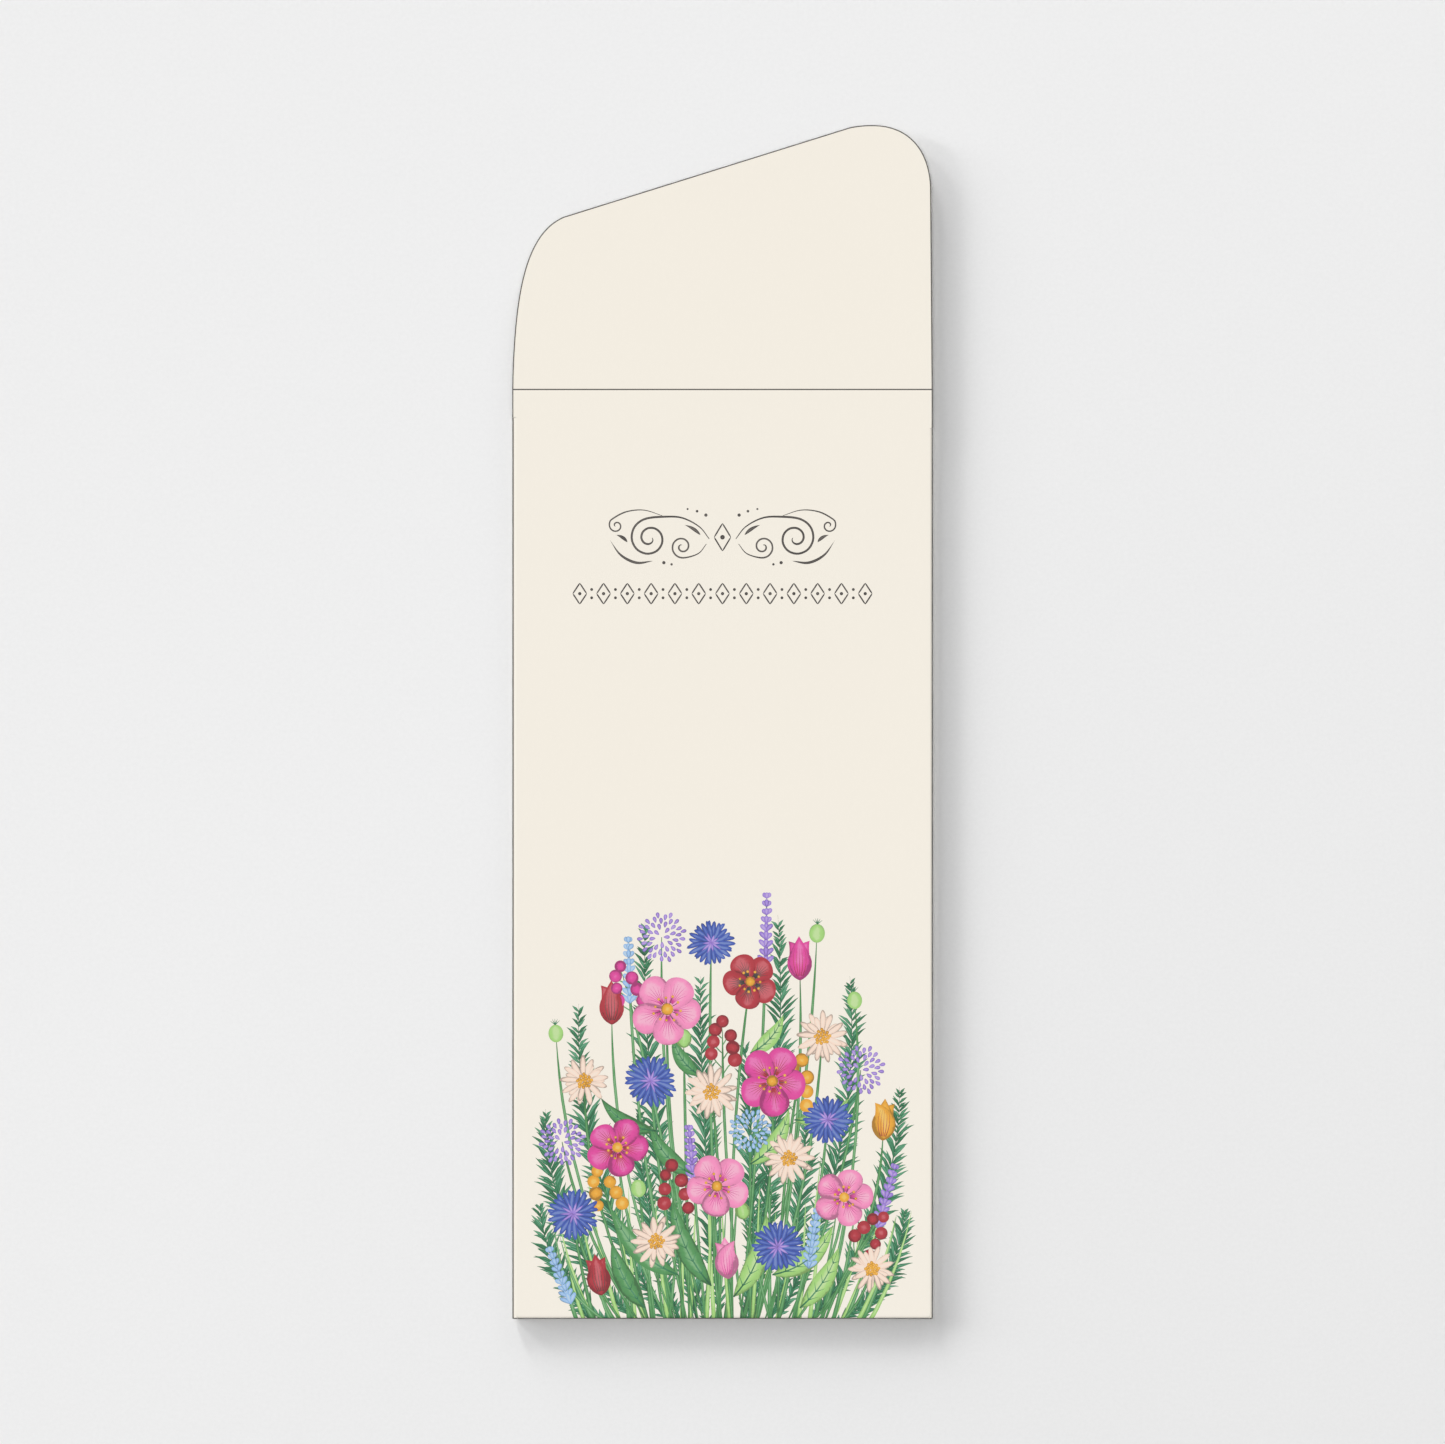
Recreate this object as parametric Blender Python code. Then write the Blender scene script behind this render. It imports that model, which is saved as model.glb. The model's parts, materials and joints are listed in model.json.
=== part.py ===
"""Slim card money holder: a folded and glued paper pocket with a slanted closure flap.

The holder lies on its back panel with its printed face up and its flap open. X runs across
it, Y along it towards the flap, and Z out of the printed face. The origin is under the
middle of the opened holder. All lengths are in metres.
"""

from collections import namedtuple
from math import pi, radians, tan

import bmesh
import bpy
from mathutils import Vector

# Overall size and card
holder_width = 0.0760
body_height = 0.1680
flap_height = 0.0478
card_thickness = 0.0003

# Depth of the empty pocket above its glued tabs
pocket_depth = 0.0006

# Gap between neighbouring faces of the folded sheet, its glue and its gum
seam_gap = 0.00005

# Gap between the closed flap's gum and the back panel
closing_gap = 0.00005

# Glued tabs
side_tab_width = 0.0100
bottom_tab_height = 0.0140
tab_end_angle = radians(40)
tab_setback = 0.0020
tab_corner_radius = 0.0015

# Back panel
back_inset = 0.0008
back_corner_radius = 0.0015
throat_drop = 0.0050
scoop_mouth_width = 0.0360
scoop_floor_width = 0.0180
scoop_depth = 0.0070
scoop_lip_radius = 0.0050
scoop_floor_radius = 0.0080

# Glue and gum
glue_thickness = 0.0001
glue_line_width = 0.0060
gum_thickness = 0.0001
gum_width = 0.0080
gum_margin = 0.0040
film_corner_radius = 0.0020

# Scored line along the middle of the flap's crease
score_width = 0.0006
score_depth = 0.00008

# Points of the flap's outline, as shares of the holder's width and of the flap's height,
# counted from the left end of the crease
left_side_rise_share = (0.0058, 0.3170)
left_shoulder_approach_share = (0.0214, 0.5840)
left_shoulder_share = (0.1217, 0.6530)
right_shoulder_share = (0.8014, 0.9908)
right_shoulder_leave_share = (0.8192, 0.9976)
apex_approach_share = (0.8387, 1.0)
apex_share = (0.8574, 1.0)
apex_leave_share = (0.9372, 1.0)
right_corner_approach_share = (0.9922, 0.9181)
right_corner_share = (0.9962, 0.7654)

# Smoothness of the curved stretches
outline_steps = 10
fold_steps = 6
weld_distance = 0.0000001

# Sheet levels, from the face that the holder lies on to its printed face
glue_z = card_thickness + seam_gap
tab_z = glue_z + glue_thickness + seam_gap
front_z = tab_z + card_thickness + pocket_depth
printed_z = front_z + card_thickness
gum_z = front_z - seam_gap - gum_thickness

# Folds: the back panel turns under at the left side, the tabs at the right side and bottom
back_fold_radius = printed_z / 2
tab_fold_radius = (printed_z - tab_z) / 2

# Flap hinge: half a turn brings the gum down to the back panel, and the crease is as wide
# as the stretch of card that then goes round the mouth
hinge_z = (gum_z - closing_gap) / 2
crease_half = pi * (front_z + card_thickness / 2 - hinge_z) / 2

# Edges of the holder and of its mouth
left_x = -holder_width / 2
right_x = holder_width / 2
bottom_y = -(body_height + flap_height) / 2
crease_y = bottom_y + body_height
throat_y = crease_y - throat_drop
side_tab_top_y = throat_y - tab_setback

# Lines at which the flat panels meet the folds
left_fold_x = left_x + back_fold_radius
right_fold_x = right_x - tab_fold_radius
bottom_fold_y = bottom_y + tab_fold_radius

# Colours, as linear values
card_colour = (0.896, 0.847, 0.753, 1.0)
glue_colour = (0.800, 0.780, 0.700, 1.0)
gum_colour = (0.780, 0.700, 0.540, 1.0)

card_roughness = 0.85
glue_roughness = 0.45
gum_roughness = 0.25

# Each knot has a point and its two handles; a missing handle leaves that side straight
Knot = namedtuple("Knot", "point arrive leave", defaults=(None, None))


def arc_handle(radius, turn):
    """Length of the handles that bend one span into an arc."""
    return radius * tan(turn / 4) * 4 / 3


def rounded_corners(corners_and_radii):
    """Outline of straight sides, each corner rounded to its radius or sharp at zero."""
    corners = [Vector(corner) for corner, _ in corners_and_radii]
    knots = []
    for index, (_, radius) in enumerate(corners_and_radii):
        corner = corners[index]
        if radius == 0:
            knots.append(Knot(corner))
            continue
        back = (corners[index - 1] - corner).normalized()
        ahead = (corners[(index + 1) % len(corners)] - corner).normalized()
        opening = back.angle(ahead)
        setback = radius / tan(opening / 2)
        handle = arc_handle(radius, pi - opening)
        start = corner + back * setback
        end = corner + ahead * setback
        knots.append(Knot(start, leave=start - back * handle))
        knots.append(Knot(end, arrive=end - ahead * handle))
    return knots


def half_ring(outer_radius, side):
    """Section of a fold of one card thickness that bulges towards the given side."""
    inner_radius = outer_radius - card_thickness
    outer = arc_handle(outer_radius, pi / 2)
    inner = arc_handle(inner_radius, pi / 2)
    return [
        Knot(Vector((0, outer_radius)), leave=Vector((side * outer, outer_radius))),
        Knot(
            Vector((side * outer_radius, 0)),
            Vector((side * outer_radius, outer)),
            Vector((side * outer_radius, -outer)),
        ),
        Knot(Vector((0, -outer_radius)), arrive=Vector((side * outer, -outer_radius))),
        Knot(Vector((0, -inner_radius)), leave=Vector((side * inner, -inner_radius))),
        Knot(
            Vector((side * inner_radius, 0)),
            Vector((side * inner_radius, -inner)),
            Vector((side * inner_radius, inner)),
        ),
        Knot(Vector((0, inner_radius)), arrive=Vector((side * inner, inner_radius))),
    ]


def film_strip(length, width):
    """Strip with rounded corners, centred on zero and running along X."""
    reach = length / 2
    half = width / 2
    corners = [(-reach, -half), (reach, -half), (reach, half), (-reach, half)]
    return rounded_corners([(corner, film_corner_radius) for corner in corners])


def extruded_outline(name, knots, depth, steps):
    """Flat outline given a depth, half to each side of its own plane, as a closed mesh."""
    curve = bpy.data.curves.new(name + "_outline", "CURVE")
    curve.dimensions = "2D"
    curve.fill_mode = "BOTH"
    curve.extrude = depth / 2
    curve.resolution_u = steps
    spline = curve.splines.new("BEZIER")
    spline.bezier_points.add(len(knots) - 1)
    spline.use_cyclic_u = True
    for bezier, knot in zip(spline.bezier_points, knots):
        bezier.co = knot.point.to_3d()
        bezier.handle_left_type = "VECTOR"
        bezier.handle_right_type = "VECTOR"
        if knot.arrive is not None:
            bezier.handle_left_type = "FREE"
            bezier.handle_left = knot.arrive.to_3d()
        if knot.leave is not None:
            bezier.handle_right_type = "FREE"
            bezier.handle_right = knot.leave.to_3d()

    source = bpy.data.objects.new(name + "_outline", curve)
    bpy.context.scene.collection.objects.link(source)
    evaluated = source.evaluated_get(bpy.context.evaluated_depsgraph_get())
    mesh = bpy.data.meshes.new_from_object(evaluated)
    bpy.data.objects.remove(source)
    mesh.name = name

    bm = bmesh.new()
    bm.from_mesh(mesh)
    bmesh.ops.remove_doubles(bm, verts=bm.verts, dist=weld_distance)
    bmesh.ops.recalc_face_normals(bm, faces=bm.faces)
    bm.to_mesh(mesh)
    bm.free()
    return mesh


def finish(name, colour, roughness):
    """Plain finish of one piece."""
    material = bpy.data.materials.new(name)
    material.use_nodes = True
    shader = material.node_tree.nodes["Principled BSDF"]
    shader.inputs["Base Color"].default_value = colour
    shader.inputs["Roughness"].default_value = roughness
    shader.inputs["Metallic"].default_value = 0
    material.diffuse_color = colour
    return material


def add_piece(name, mesh, location, rotation, colour, roughness, parent=None):
    """Named piece of the holder, placed in the world or on its parent."""
    mesh.materials.clear()
    mesh.materials.append(finish(name, colour, roughness))
    piece = bpy.data.objects.new(name, mesh)
    piece.location = location
    piece.rotation_euler = rotation
    piece.parent = parent
    bpy.data.collections["money_holder"].objects.link(piece)
    return piece


def add_card(name, knots, low_z):
    """Flat panel or tab of the card, with its lower face at the given height."""
    mesh = extruded_outline(name, knots, card_thickness, outline_steps)
    place = (0, 0, low_z + card_thickness / 2)
    return add_piece(name, mesh, place, (0, 0, 0), card_colour, card_roughness)


def add_side_fold(name, radius, side, x, top_y):
    """Fold along the holder's left or right side, from its bottom edge up."""
    mesh = extruded_outline(name, half_ring(radius, side), top_y - bottom_y, fold_steps)
    mesh.shade_smooth()
    mesh.set_sharp_from_angle(angle=radians(30))
    place = (x, (top_y + bottom_y) / 2, printed_z - radius)
    return add_piece(name, mesh, place, (pi / 2, 0, 0), card_colour, card_roughness)


def add_left_fold():
    """Wide fold that joins the front panel to the back panel."""
    return add_side_fold("left_fold", back_fold_radius, -1, left_fold_x, throat_y)


def add_right_fold():
    """Narrow fold that joins the front panel to the side tab."""
    return add_side_fold("right_fold", tab_fold_radius, 1, right_fold_x, side_tab_top_y)


def add_bottom_fold():
    """Narrow fold between the side folds that joins the front panel to the bottom tab."""
    start_x = left_fold_x + seam_gap
    end_x = right_fold_x - seam_gap
    mesh = extruded_outline("bottom_fold", half_ring(tab_fold_radius, -1), end_x - start_x, fold_steps)
    mesh.shade_smooth()
    mesh.set_sharp_from_angle(angle=radians(30))
    place = ((start_x + end_x) / 2, bottom_fold_y, printed_z - tab_fold_radius)
    return add_piece("bottom_fold", mesh, place, (pi / 2, 0, pi / 2), card_colour, card_roughness)


def add_front_panel():
    """Printed panel, which reaches the holder's sides above the ends of the side folds."""
    edge_left = left_fold_x + seam_gap
    edge_right = right_fold_x - seam_gap
    edge_bottom = bottom_fold_y + seam_gap
    edge_top = crease_y - crease_half - seam_gap
    ear_left = throat_y + seam_gap
    ear_right = side_tab_top_y + seam_gap
    corners = [
        (edge_left, edge_bottom),
        (edge_right, edge_bottom),
        (edge_right, ear_right),
        (right_x, ear_right),
        (right_x, edge_top),
        (left_x, edge_top),
        (left_x, ear_left),
        (edge_left, ear_left),
    ]
    return add_card("front_panel", rounded_corners([(corner, 0) for corner in corners]), front_z)


def add_back_panel():
    """Panel that closes the pocket's back, with a scooped throat at the mouth."""
    edge_left = left_fold_x + seam_gap
    edge_right = right_x - back_inset
    edge_bottom = bottom_y + back_inset
    mouth_reach = scoop_mouth_width / 2
    floor_reach = scoop_floor_width / 2
    floor_y = throat_y - scoop_depth
    corners_and_radii = [
        ((edge_left, throat_y), 0),
        ((edge_left, edge_bottom), 0),
        ((edge_right, edge_bottom), back_corner_radius),
        ((edge_right, throat_y), back_corner_radius),
        ((mouth_reach, throat_y), scoop_lip_radius),
        ((floor_reach, floor_y), scoop_floor_radius),
        ((-floor_reach, floor_y), scoop_floor_radius),
        ((-mouth_reach, throat_y), scoop_lip_radius),
    ]
    return add_card("back_panel", rounded_corners(corners_and_radii), 0)


def side_tab_corners():
    """Side tab from its fold to its free edge, with both ends cut at a slant."""
    root_x = right_fold_x - seam_gap
    free_x = right_fold_x - side_tab_width
    slant = (root_x - free_x) / tan(tab_end_angle)
    root_y = bottom_y + tab_setback
    return [
        (root_x, root_y),
        (root_x, side_tab_top_y),
        (free_x, side_tab_top_y - slant),
        (free_x, root_y + slant),
    ]


def bottom_tab_corners():
    """Bottom tab from its fold to its free edge, with both ends cut at a slant."""
    root_y = bottom_fold_y + seam_gap
    free_y = bottom_fold_y + bottom_tab_height
    slant = (free_y - root_y) / tan(tab_end_angle)
    start_x = left_fold_x + tab_setback
    end_x = right_x - tab_setback
    return [
        (end_x, root_y),
        (end_x - slant, free_y),
        (start_x + slant, free_y),
        (start_x, root_y),
    ]


def add_side_tab():
    """Tab of the side seam, inside the back panel."""
    radii = [0, 0, tab_corner_radius, tab_corner_radius]
    return add_card("side_tab", rounded_corners(list(zip(side_tab_corners(), radii))), tab_z)


def add_bottom_tab():
    """Tab of the bottom seam, inside the back panel."""
    radii = [0, tab_corner_radius, tab_corner_radius, 0]
    return add_card("bottom_tab", rounded_corners(list(zip(bottom_tab_corners(), radii))), tab_z)


def add_glue_line(name, length, centre, turn):
    """Film of dry glue between a tab and the back panel."""
    mesh = extruded_outline(name, film_strip(length, glue_line_width), glue_thickness, outline_steps)
    place = (*centre, glue_z + glue_thickness / 2)
    return add_piece(name, mesh, place, (0, 0, turn), glue_colour, glue_roughness)


def add_side_glue_line():
    """Glue along the side tab, as long as the tab's free edge."""
    root, _, free_top, free_bottom = side_tab_corners()
    length = free_top[1] - free_bottom[1]
    centre = ((root[0] + free_top[0]) / 2, (free_top[1] + free_bottom[1]) / 2)
    return add_glue_line("side_glue_line", length, centre, pi / 2)


def add_bottom_glue_line():
    """Glue along the bottom tab, as long as the tab's free edge."""
    root, free_right, free_left, _ = bottom_tab_corners()
    length = free_right[0] - free_left[0]
    centre = ((free_right[0] + free_left[0]) / 2, (root[1] + free_right[1]) / 2)
    return add_glue_line("bottom_glue_line", length, centre, 0)


def add_flap_crease():
    """Strip that bends when the flap closes, with a score pressed along its middle.

    Seen from its end, the score is a groove in the printed face and a bead on the inner one.
    """
    half = card_thickness / 2
    reach = score_width / 2
    ease = score_width / 4
    groove = half - score_depth
    bead = -half - score_depth
    section = [
        Knot(Vector((-crease_half, -half))),
        Knot(Vector((-reach, -half)), leave=Vector((-ease, -half))),
        Knot(Vector((0, bead)), Vector((-ease, bead)), Vector((ease, bead))),
        Knot(Vector((reach, -half)), arrive=Vector((ease, -half))),
        Knot(Vector((crease_half, -half))),
        Knot(Vector((crease_half, half))),
        Knot(Vector((reach, half)), leave=Vector((ease, half))),
        Knot(Vector((0, groove)), Vector((ease, groove)), Vector((-ease, groove))),
        Knot(Vector((-reach, half)), arrive=Vector((-ease, half))),
        Knot(Vector((-crease_half, half))),
    ]
    mesh = extruded_outline("flap_crease", section, holder_width, fold_steps)
    place = (0, crease_y, front_z + half)
    return add_piece("flap_crease", mesh, place, (pi / 2, 0, pi / 2), card_colour, card_roughness)


def add_flap_hinge():
    """Empty on the line about which the flap closes."""
    hinge = bpy.data.objects.new("flap_hinge", None)
    hinge.location = (0, crease_y, hinge_z)
    hinge.empty_display_size = holder_width / 2
    bpy.data.collections["money_holder"].objects.link(hinge)
    return hinge


def flap_point(share):
    """Point of the flap, from the middle of the crease, at shares of its width and height."""
    return Vector((left_x + holder_width * share[0], flap_height * share[1]))


def add_closure_flap(hinge):
    """Flap whose outer edge climbs from a low left shoulder to a high round right corner."""
    root_y = crease_half + seam_gap
    outline = [
        Knot(Vector((right_x, root_y))),
        Knot(flap_point(right_corner_share), leave=flap_point(right_corner_approach_share)),
        Knot(flap_point(apex_share), flap_point(apex_leave_share), flap_point(apex_approach_share)),
        Knot(flap_point(right_shoulder_share), arrive=flap_point(right_shoulder_leave_share)),
        Knot(flap_point(left_shoulder_share), leave=flap_point(left_shoulder_approach_share)),
        Knot(Vector((left_x, root_y)), arrive=flap_point(left_side_rise_share)),
    ]
    mesh = extruded_outline("closure_flap", outline, card_thickness, outline_steps)
    place = (0, 0, front_z + card_thickness / 2 - hinge_z)
    return add_piece("closure_flap", mesh, place, (0, 0, 0), card_colour, card_roughness, hinge)


def add_flap_gum(hinge):
    """Gum on the flap's inner face, a margin inside its slanted edge and parallel to it."""
    start = flap_point(left_shoulder_share)
    edge = flap_point(right_shoulder_share) - start
    inward = Vector((edge.y, -edge.x)).normalized()
    centre = start + edge / 2 + inward * (gum_margin + gum_width / 2)
    mesh = extruded_outline("flap_gum", film_strip(edge.length, gum_width), gum_thickness, outline_steps)
    place = (*centre, gum_z + gum_thickness / 2 - hinge_z)
    turn = (0, 0, Vector((1, 0)).angle(edge))
    return add_piece("flap_gum", mesh, place, turn, gum_colour, gum_roughness, hinge)


def build_money_holder():
    """Empty scene, then the fixed pocket and the flap that hangs on its crease."""
    for existing in list(bpy.data.objects):
        bpy.data.objects.remove(existing)
    collection = bpy.data.collections.new("money_holder")
    bpy.context.scene.collection.children.link(collection)

    add_front_panel()
    add_back_panel()
    add_left_fold()
    add_right_fold()
    add_bottom_fold()
    add_side_tab()
    add_bottom_tab()
    add_side_glue_line()
    add_bottom_glue_line()
    add_flap_crease()

    hinge = add_flap_hinge()
    add_closure_flap(hinge)
    add_flap_gum(hinge)


build_money_holder()
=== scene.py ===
"""Looks of a slim card money holder: its folded card, its printed border and its stage."""
import json
from math import cos, pi, radians, sin, sqrt
from random import Random

import bmesh
import bpy
from bpy.props import FloatProperty, FloatVectorProperty, IntProperty, PointerProperty
from mathutils import Matrix, Vector
from mathutils.geometry import interpolate_bezier

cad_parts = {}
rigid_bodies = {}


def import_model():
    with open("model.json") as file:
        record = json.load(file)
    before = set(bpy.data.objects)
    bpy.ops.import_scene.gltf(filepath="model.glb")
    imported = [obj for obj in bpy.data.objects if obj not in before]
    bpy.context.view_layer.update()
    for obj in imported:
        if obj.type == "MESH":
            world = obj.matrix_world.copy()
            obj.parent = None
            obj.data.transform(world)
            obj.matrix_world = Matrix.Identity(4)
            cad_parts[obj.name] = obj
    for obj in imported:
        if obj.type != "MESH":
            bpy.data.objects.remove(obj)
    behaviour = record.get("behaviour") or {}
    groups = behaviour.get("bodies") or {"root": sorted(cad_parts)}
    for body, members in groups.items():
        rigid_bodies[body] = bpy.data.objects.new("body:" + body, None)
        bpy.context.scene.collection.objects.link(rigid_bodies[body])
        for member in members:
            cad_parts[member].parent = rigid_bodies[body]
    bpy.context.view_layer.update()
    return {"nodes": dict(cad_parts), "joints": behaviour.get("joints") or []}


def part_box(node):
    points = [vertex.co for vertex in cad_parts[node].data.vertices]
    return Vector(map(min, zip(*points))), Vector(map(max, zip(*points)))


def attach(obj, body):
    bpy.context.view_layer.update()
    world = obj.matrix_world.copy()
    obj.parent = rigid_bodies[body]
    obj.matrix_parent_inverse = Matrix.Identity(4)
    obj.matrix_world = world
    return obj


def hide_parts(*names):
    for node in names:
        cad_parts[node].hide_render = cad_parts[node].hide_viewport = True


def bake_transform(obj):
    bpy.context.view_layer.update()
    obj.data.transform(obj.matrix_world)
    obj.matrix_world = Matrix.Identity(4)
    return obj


bl_info = {
    "name": "Money holder looks",
    "version": (1, 0, 0),
    "blender": (4, 5, 0),
    "location": "3D View > Sidebar > Money holder",
    "description": "Folds, prints and lights a slim card money holder",
    "category": "Object",
}

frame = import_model()

# Places on the holder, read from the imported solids, in metres
LOW, HIGH = 0, 1
HINGE = frame["joints"][0]
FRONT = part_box("front_panel")
LEFT_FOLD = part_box("left_fold")
RIGHT_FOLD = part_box("right_fold")
BOTTOM_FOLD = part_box("bottom_fold")
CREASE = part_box("flap_crease")

CARD_THICKNESS = FRONT[HIGH].z - FRONT[LOW].z
PRINTED_Z = FRONT[HIGH].z
CREASE_Y = HINGE["pos_m"][1]
CREASE_HALF = (CREASE[HIGH].y - CREASE[LOW].y) / 2
LEFT_X = LEFT_FOLD[LOW].x
RIGHT_X = RIGHT_FOLD[HIGH].x
BOTTOM_Y = BOTTOM_FOLD[LOW].y
LEFT_FOLD_X = LEFT_FOLD[HIGH].x
RIGHT_FOLD_X = RIGHT_FOLD[LOW].x
BOTTOM_FOLD_Y = BOTTOM_FOLD[HIGH].y
LEFT_FOLD_TOP_Y = LEFT_FOLD[HIGH].y
RIGHT_FOLD_TOP_Y = RIGHT_FOLD[HIGH].y
# Lines along which the card turns under: the axis across each, its place and its highest y
LEFT_LINE = (0, LEFT_FOLD_X, LEFT_FOLD_TOP_Y)
RIGHT_LINE = (0, RIGHT_FOLD_X, RIGHT_FOLD_TOP_Y)
BOTTOM_LINE = (1, BOTTOM_FOLD_Y, BOTTOM_FOLD_Y)
FOLD_LINES = (LEFT_LINE, RIGHT_LINE, BOTTOM_LINE)
SIDE_FOLD_TOPS = (LEFT_FOLD_TOP_Y, RIGHT_FOLD_TOP_Y)
# Outer radius of the fold into the back panel, and of the folds into the tabs
BACK_FOLD_RADIUS = (LEFT_FOLD[HIGH].z - LEFT_FOLD[LOW].z) / 2
TAB_FOLD_RADIUS = (RIGHT_FOLD[HIGH].z - RIGHT_FOLD[LOW].z) / 2
# The same at the middle of the card, and its heights in the front, the back and the tabs
BACK_TURN = BACK_FOLD_RADIUS - CARD_THICKNESS / 2
TAB_TURN = TAB_FOLD_RADIUS - CARD_THICKNESS / 2
MIDDLE_Z = PRINTED_Z - CARD_THICKNESS / 2
BACK_Z = CARD_THICKNESS / 2
TAB_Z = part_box("side_tab")[LOW].z + CARD_THICKNESS / 2

# How far a point may lie from a fold line and still be taken as on it
SNAP = 0.0001
WELD = 0.000001
# How far a fold's end stays clear of the card beside it
END_RELIEF = 0.00006

MILLIMETRE = 0.001


def srgb(*levels):
    """Linear colour from display levels of 0 to 255."""
    shares = [level / 255 for level in levels]
    return [share / 12.92 if share <= 0.04045 else ((share + 0.055) / 1.055) ** 2.4 for share in shares]


def colour_property(name, description, *levels):
    return FloatVectorProperty(
        name=name, description=description, subtype="COLOR", size=3, min=0, max=1, default=srgb(*levels)
    )


def length_property(name, description, default):
    return FloatProperty(name=name, description=description, default=default, min=0, unit="LENGTH")


def share_property(name, description, default):
    return FloatProperty(
        name=name, description=description, default=default, min=0, max=1, subtype="FACTOR"
    )


class CardSettings(bpy.types.PropertyGroup):
    """Card of the holder and the thin line printed round it"""

    colour: colour_property("Card", "Colour of the card", 243, 236.7, 224.6)
    line_colour: colour_property("Line", "Ink of the line round the edges and along the crease", 58, 54, 50)
    line_width: length_property("Line width", "Width of the line printed round the edges", 0.0002)
    # Width of the dark line along the crease: a printed line that is also painted shade in the score groove
    crease_shade_line: length_property("Crease line", "Width of the line printed along the crease", 0.00027)
    score_depth: length_property("Score depth", "Depth of the groove along the crease", 0.00006)
    score_reach: length_property("Score reach", "Half width of the groove", 0.0003)
    fold_steps: IntProperty(name="Fold steps", description="Facets round each fold", default=16, min=8)


class InkSettings(bpy.types.PropertyGroup):
    """Inks of the printed border and ornaments"""

    fern: colour_property("Fern green", "Ink of the fern fronds", 44, 112, 74)
    leaf: colour_property("Leaf green", "Ink of broad leaves and stems", 78, 140, 82)
    pod: colour_property("Pod green", "Ink of young leaves and seed pods", 158, 204, 118)
    pink: colour_property("Pink", "Ink of the large blossoms", 236, 140, 184)
    magenta: colour_property("Magenta", "Ink of the darker blossoms", 214, 70, 150)
    red: colour_property("Red", "Ink of tulips and berries", 168, 48, 58)
    blue: colour_property("Blue", "Ink of the cornflowers", 62, 86, 168)
    sky: colour_property("Sky blue", "Ink of the paler globes and spikes", 146, 184, 226)
    violet: colour_property("Violet", "Ink of globes and spikes", 152, 124, 208)
    gold: colour_property("Gold", "Ink of flower hearts and berries", 226, 162, 52)
    peach: colour_property("Peach", "Ink of the daisies", 240, 214, 196)
    line: colour_property("Dark", "Ink of the ornaments", 56, 51, 48)


class StageSettings(bpy.types.PropertyGroup):
    """Ground, camera and lamps"""

    ground: colour_property("Ground", "Colour of the ground", 239, 239, 239)
    # Colour of the ground in its painted shade, away from the lamps' corner; the backdrop past the ground
    # takes it too
    painted_shade_ground: colour_property("Far ground", "Colour of the ground away from the lamps", 233, 233, 233)
    lens: FloatProperty(name="Lens", description="Focal length", default=200, unit="CAMERA")
    low_height: FloatProperty(
        name="Low lamps' height", description="Angle of the four low lamps above the ground",
        default=radians(10), subtype="ANGLE",
    )
    low_share: share_property("Low lamps", "Share of the ground's light from the four low lamps", 0.47)
    surround_share: share_property("Surround", "Share of the light from all round", 0.16)


# Materials

WHITE = (1, 1, 1)
# How fine each grain is, in cycles a metre
CARD_CLOUDS = 45
CARD_FIBRES = 2600
CARD_TOOTH = 1500
EDGE_LAYERS = 3000
LINE_GRAIN = 2200
INK_BLOOMS = 420
INK_GRAIN = 2800
FILM_STREAKS = 900
GROUND_GRAIN = 1500
BUMP_DEPTH = 0.00002
# Sockets of the mixing node: its factor, its two colours and its result
MIX_FACTOR, MIX_FIRST, MIX_SECOND, MIX_RESULT = 0, 6, 7, 2
# Strength of an ink from the rim of a mark inwards: place, and factor on the ink's colour
WASH_STOPS = ((0.0, 0.5), (0.2, 0.92), (0.5, 1.04))
# Where the ink is thinnest, and its share there in a mix with the card's colour
THIN_PLACE = 0.95
THIN_SHARE = 0.6


def scaled(colour, factor):
    """Colour with its light scaled, as four numbers."""
    return [channel * factor for channel in colour[:3]] + [1]


class NodeTree:
    """Shader nodes of a material or a world"""

    def __init__(self, owner):
        owner.use_nodes = True
        self.tree = owner.node_tree

    def join(self, value, socket):
        """Links a socket to another, or sets its value."""
        if isinstance(value, bpy.types.NodeSocket):
            self.tree.links.new(value, socket)
        else:
            socket.default_value = value

    def add(self, kind, inputs=None, **settings):
        """Shader node with its settings, and with its inputs set or linked."""
        made = self.tree.nodes.new("ShaderNode" + kind)
        for name, value in settings.items():
            setattr(made, name, value)
        for name, value in (inputs or {}).items():
            self.join(value, made.inputs[name])
        return made

    def noise(self, place, scale, detail=2.0, roughness=0.5):
        """Cloudy noise of that many cycles a metre."""
        inputs = {"Vector": place, "Scale": scale, "Detail": detail, "Roughness": roughness}
        return self.add("TexNoise", inputs).outputs[0]

    def stretched(self, place, *scale):
        """Place stretched along the axes, for a grain that runs one way."""
        return self.add("Mapping", {"Vector": place, "Scale": scale}).outputs[0]

    def between(self, value, low, high):
        """Value of 0 to 1 spread between two others."""
        return self.add("MapRange", {"Value": value, "To Min": low, "To Max": high}).outputs[0]

    def added(self, first, second):
        """Sum of two values."""
        return self.add("Math", {0: first, 1: second}, operation="ADD").outputs[0]

    def mixed(self, factor, first, second, blend="MIX"):
        """Two colours mixed by a factor."""
        inputs = {MIX_FACTOR: factor, MIX_FIRST: first, MIX_SECOND: second}
        return self.add("Mix", inputs, data_type="RGBA", blend_type=blend).outputs[MIX_RESULT]


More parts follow.
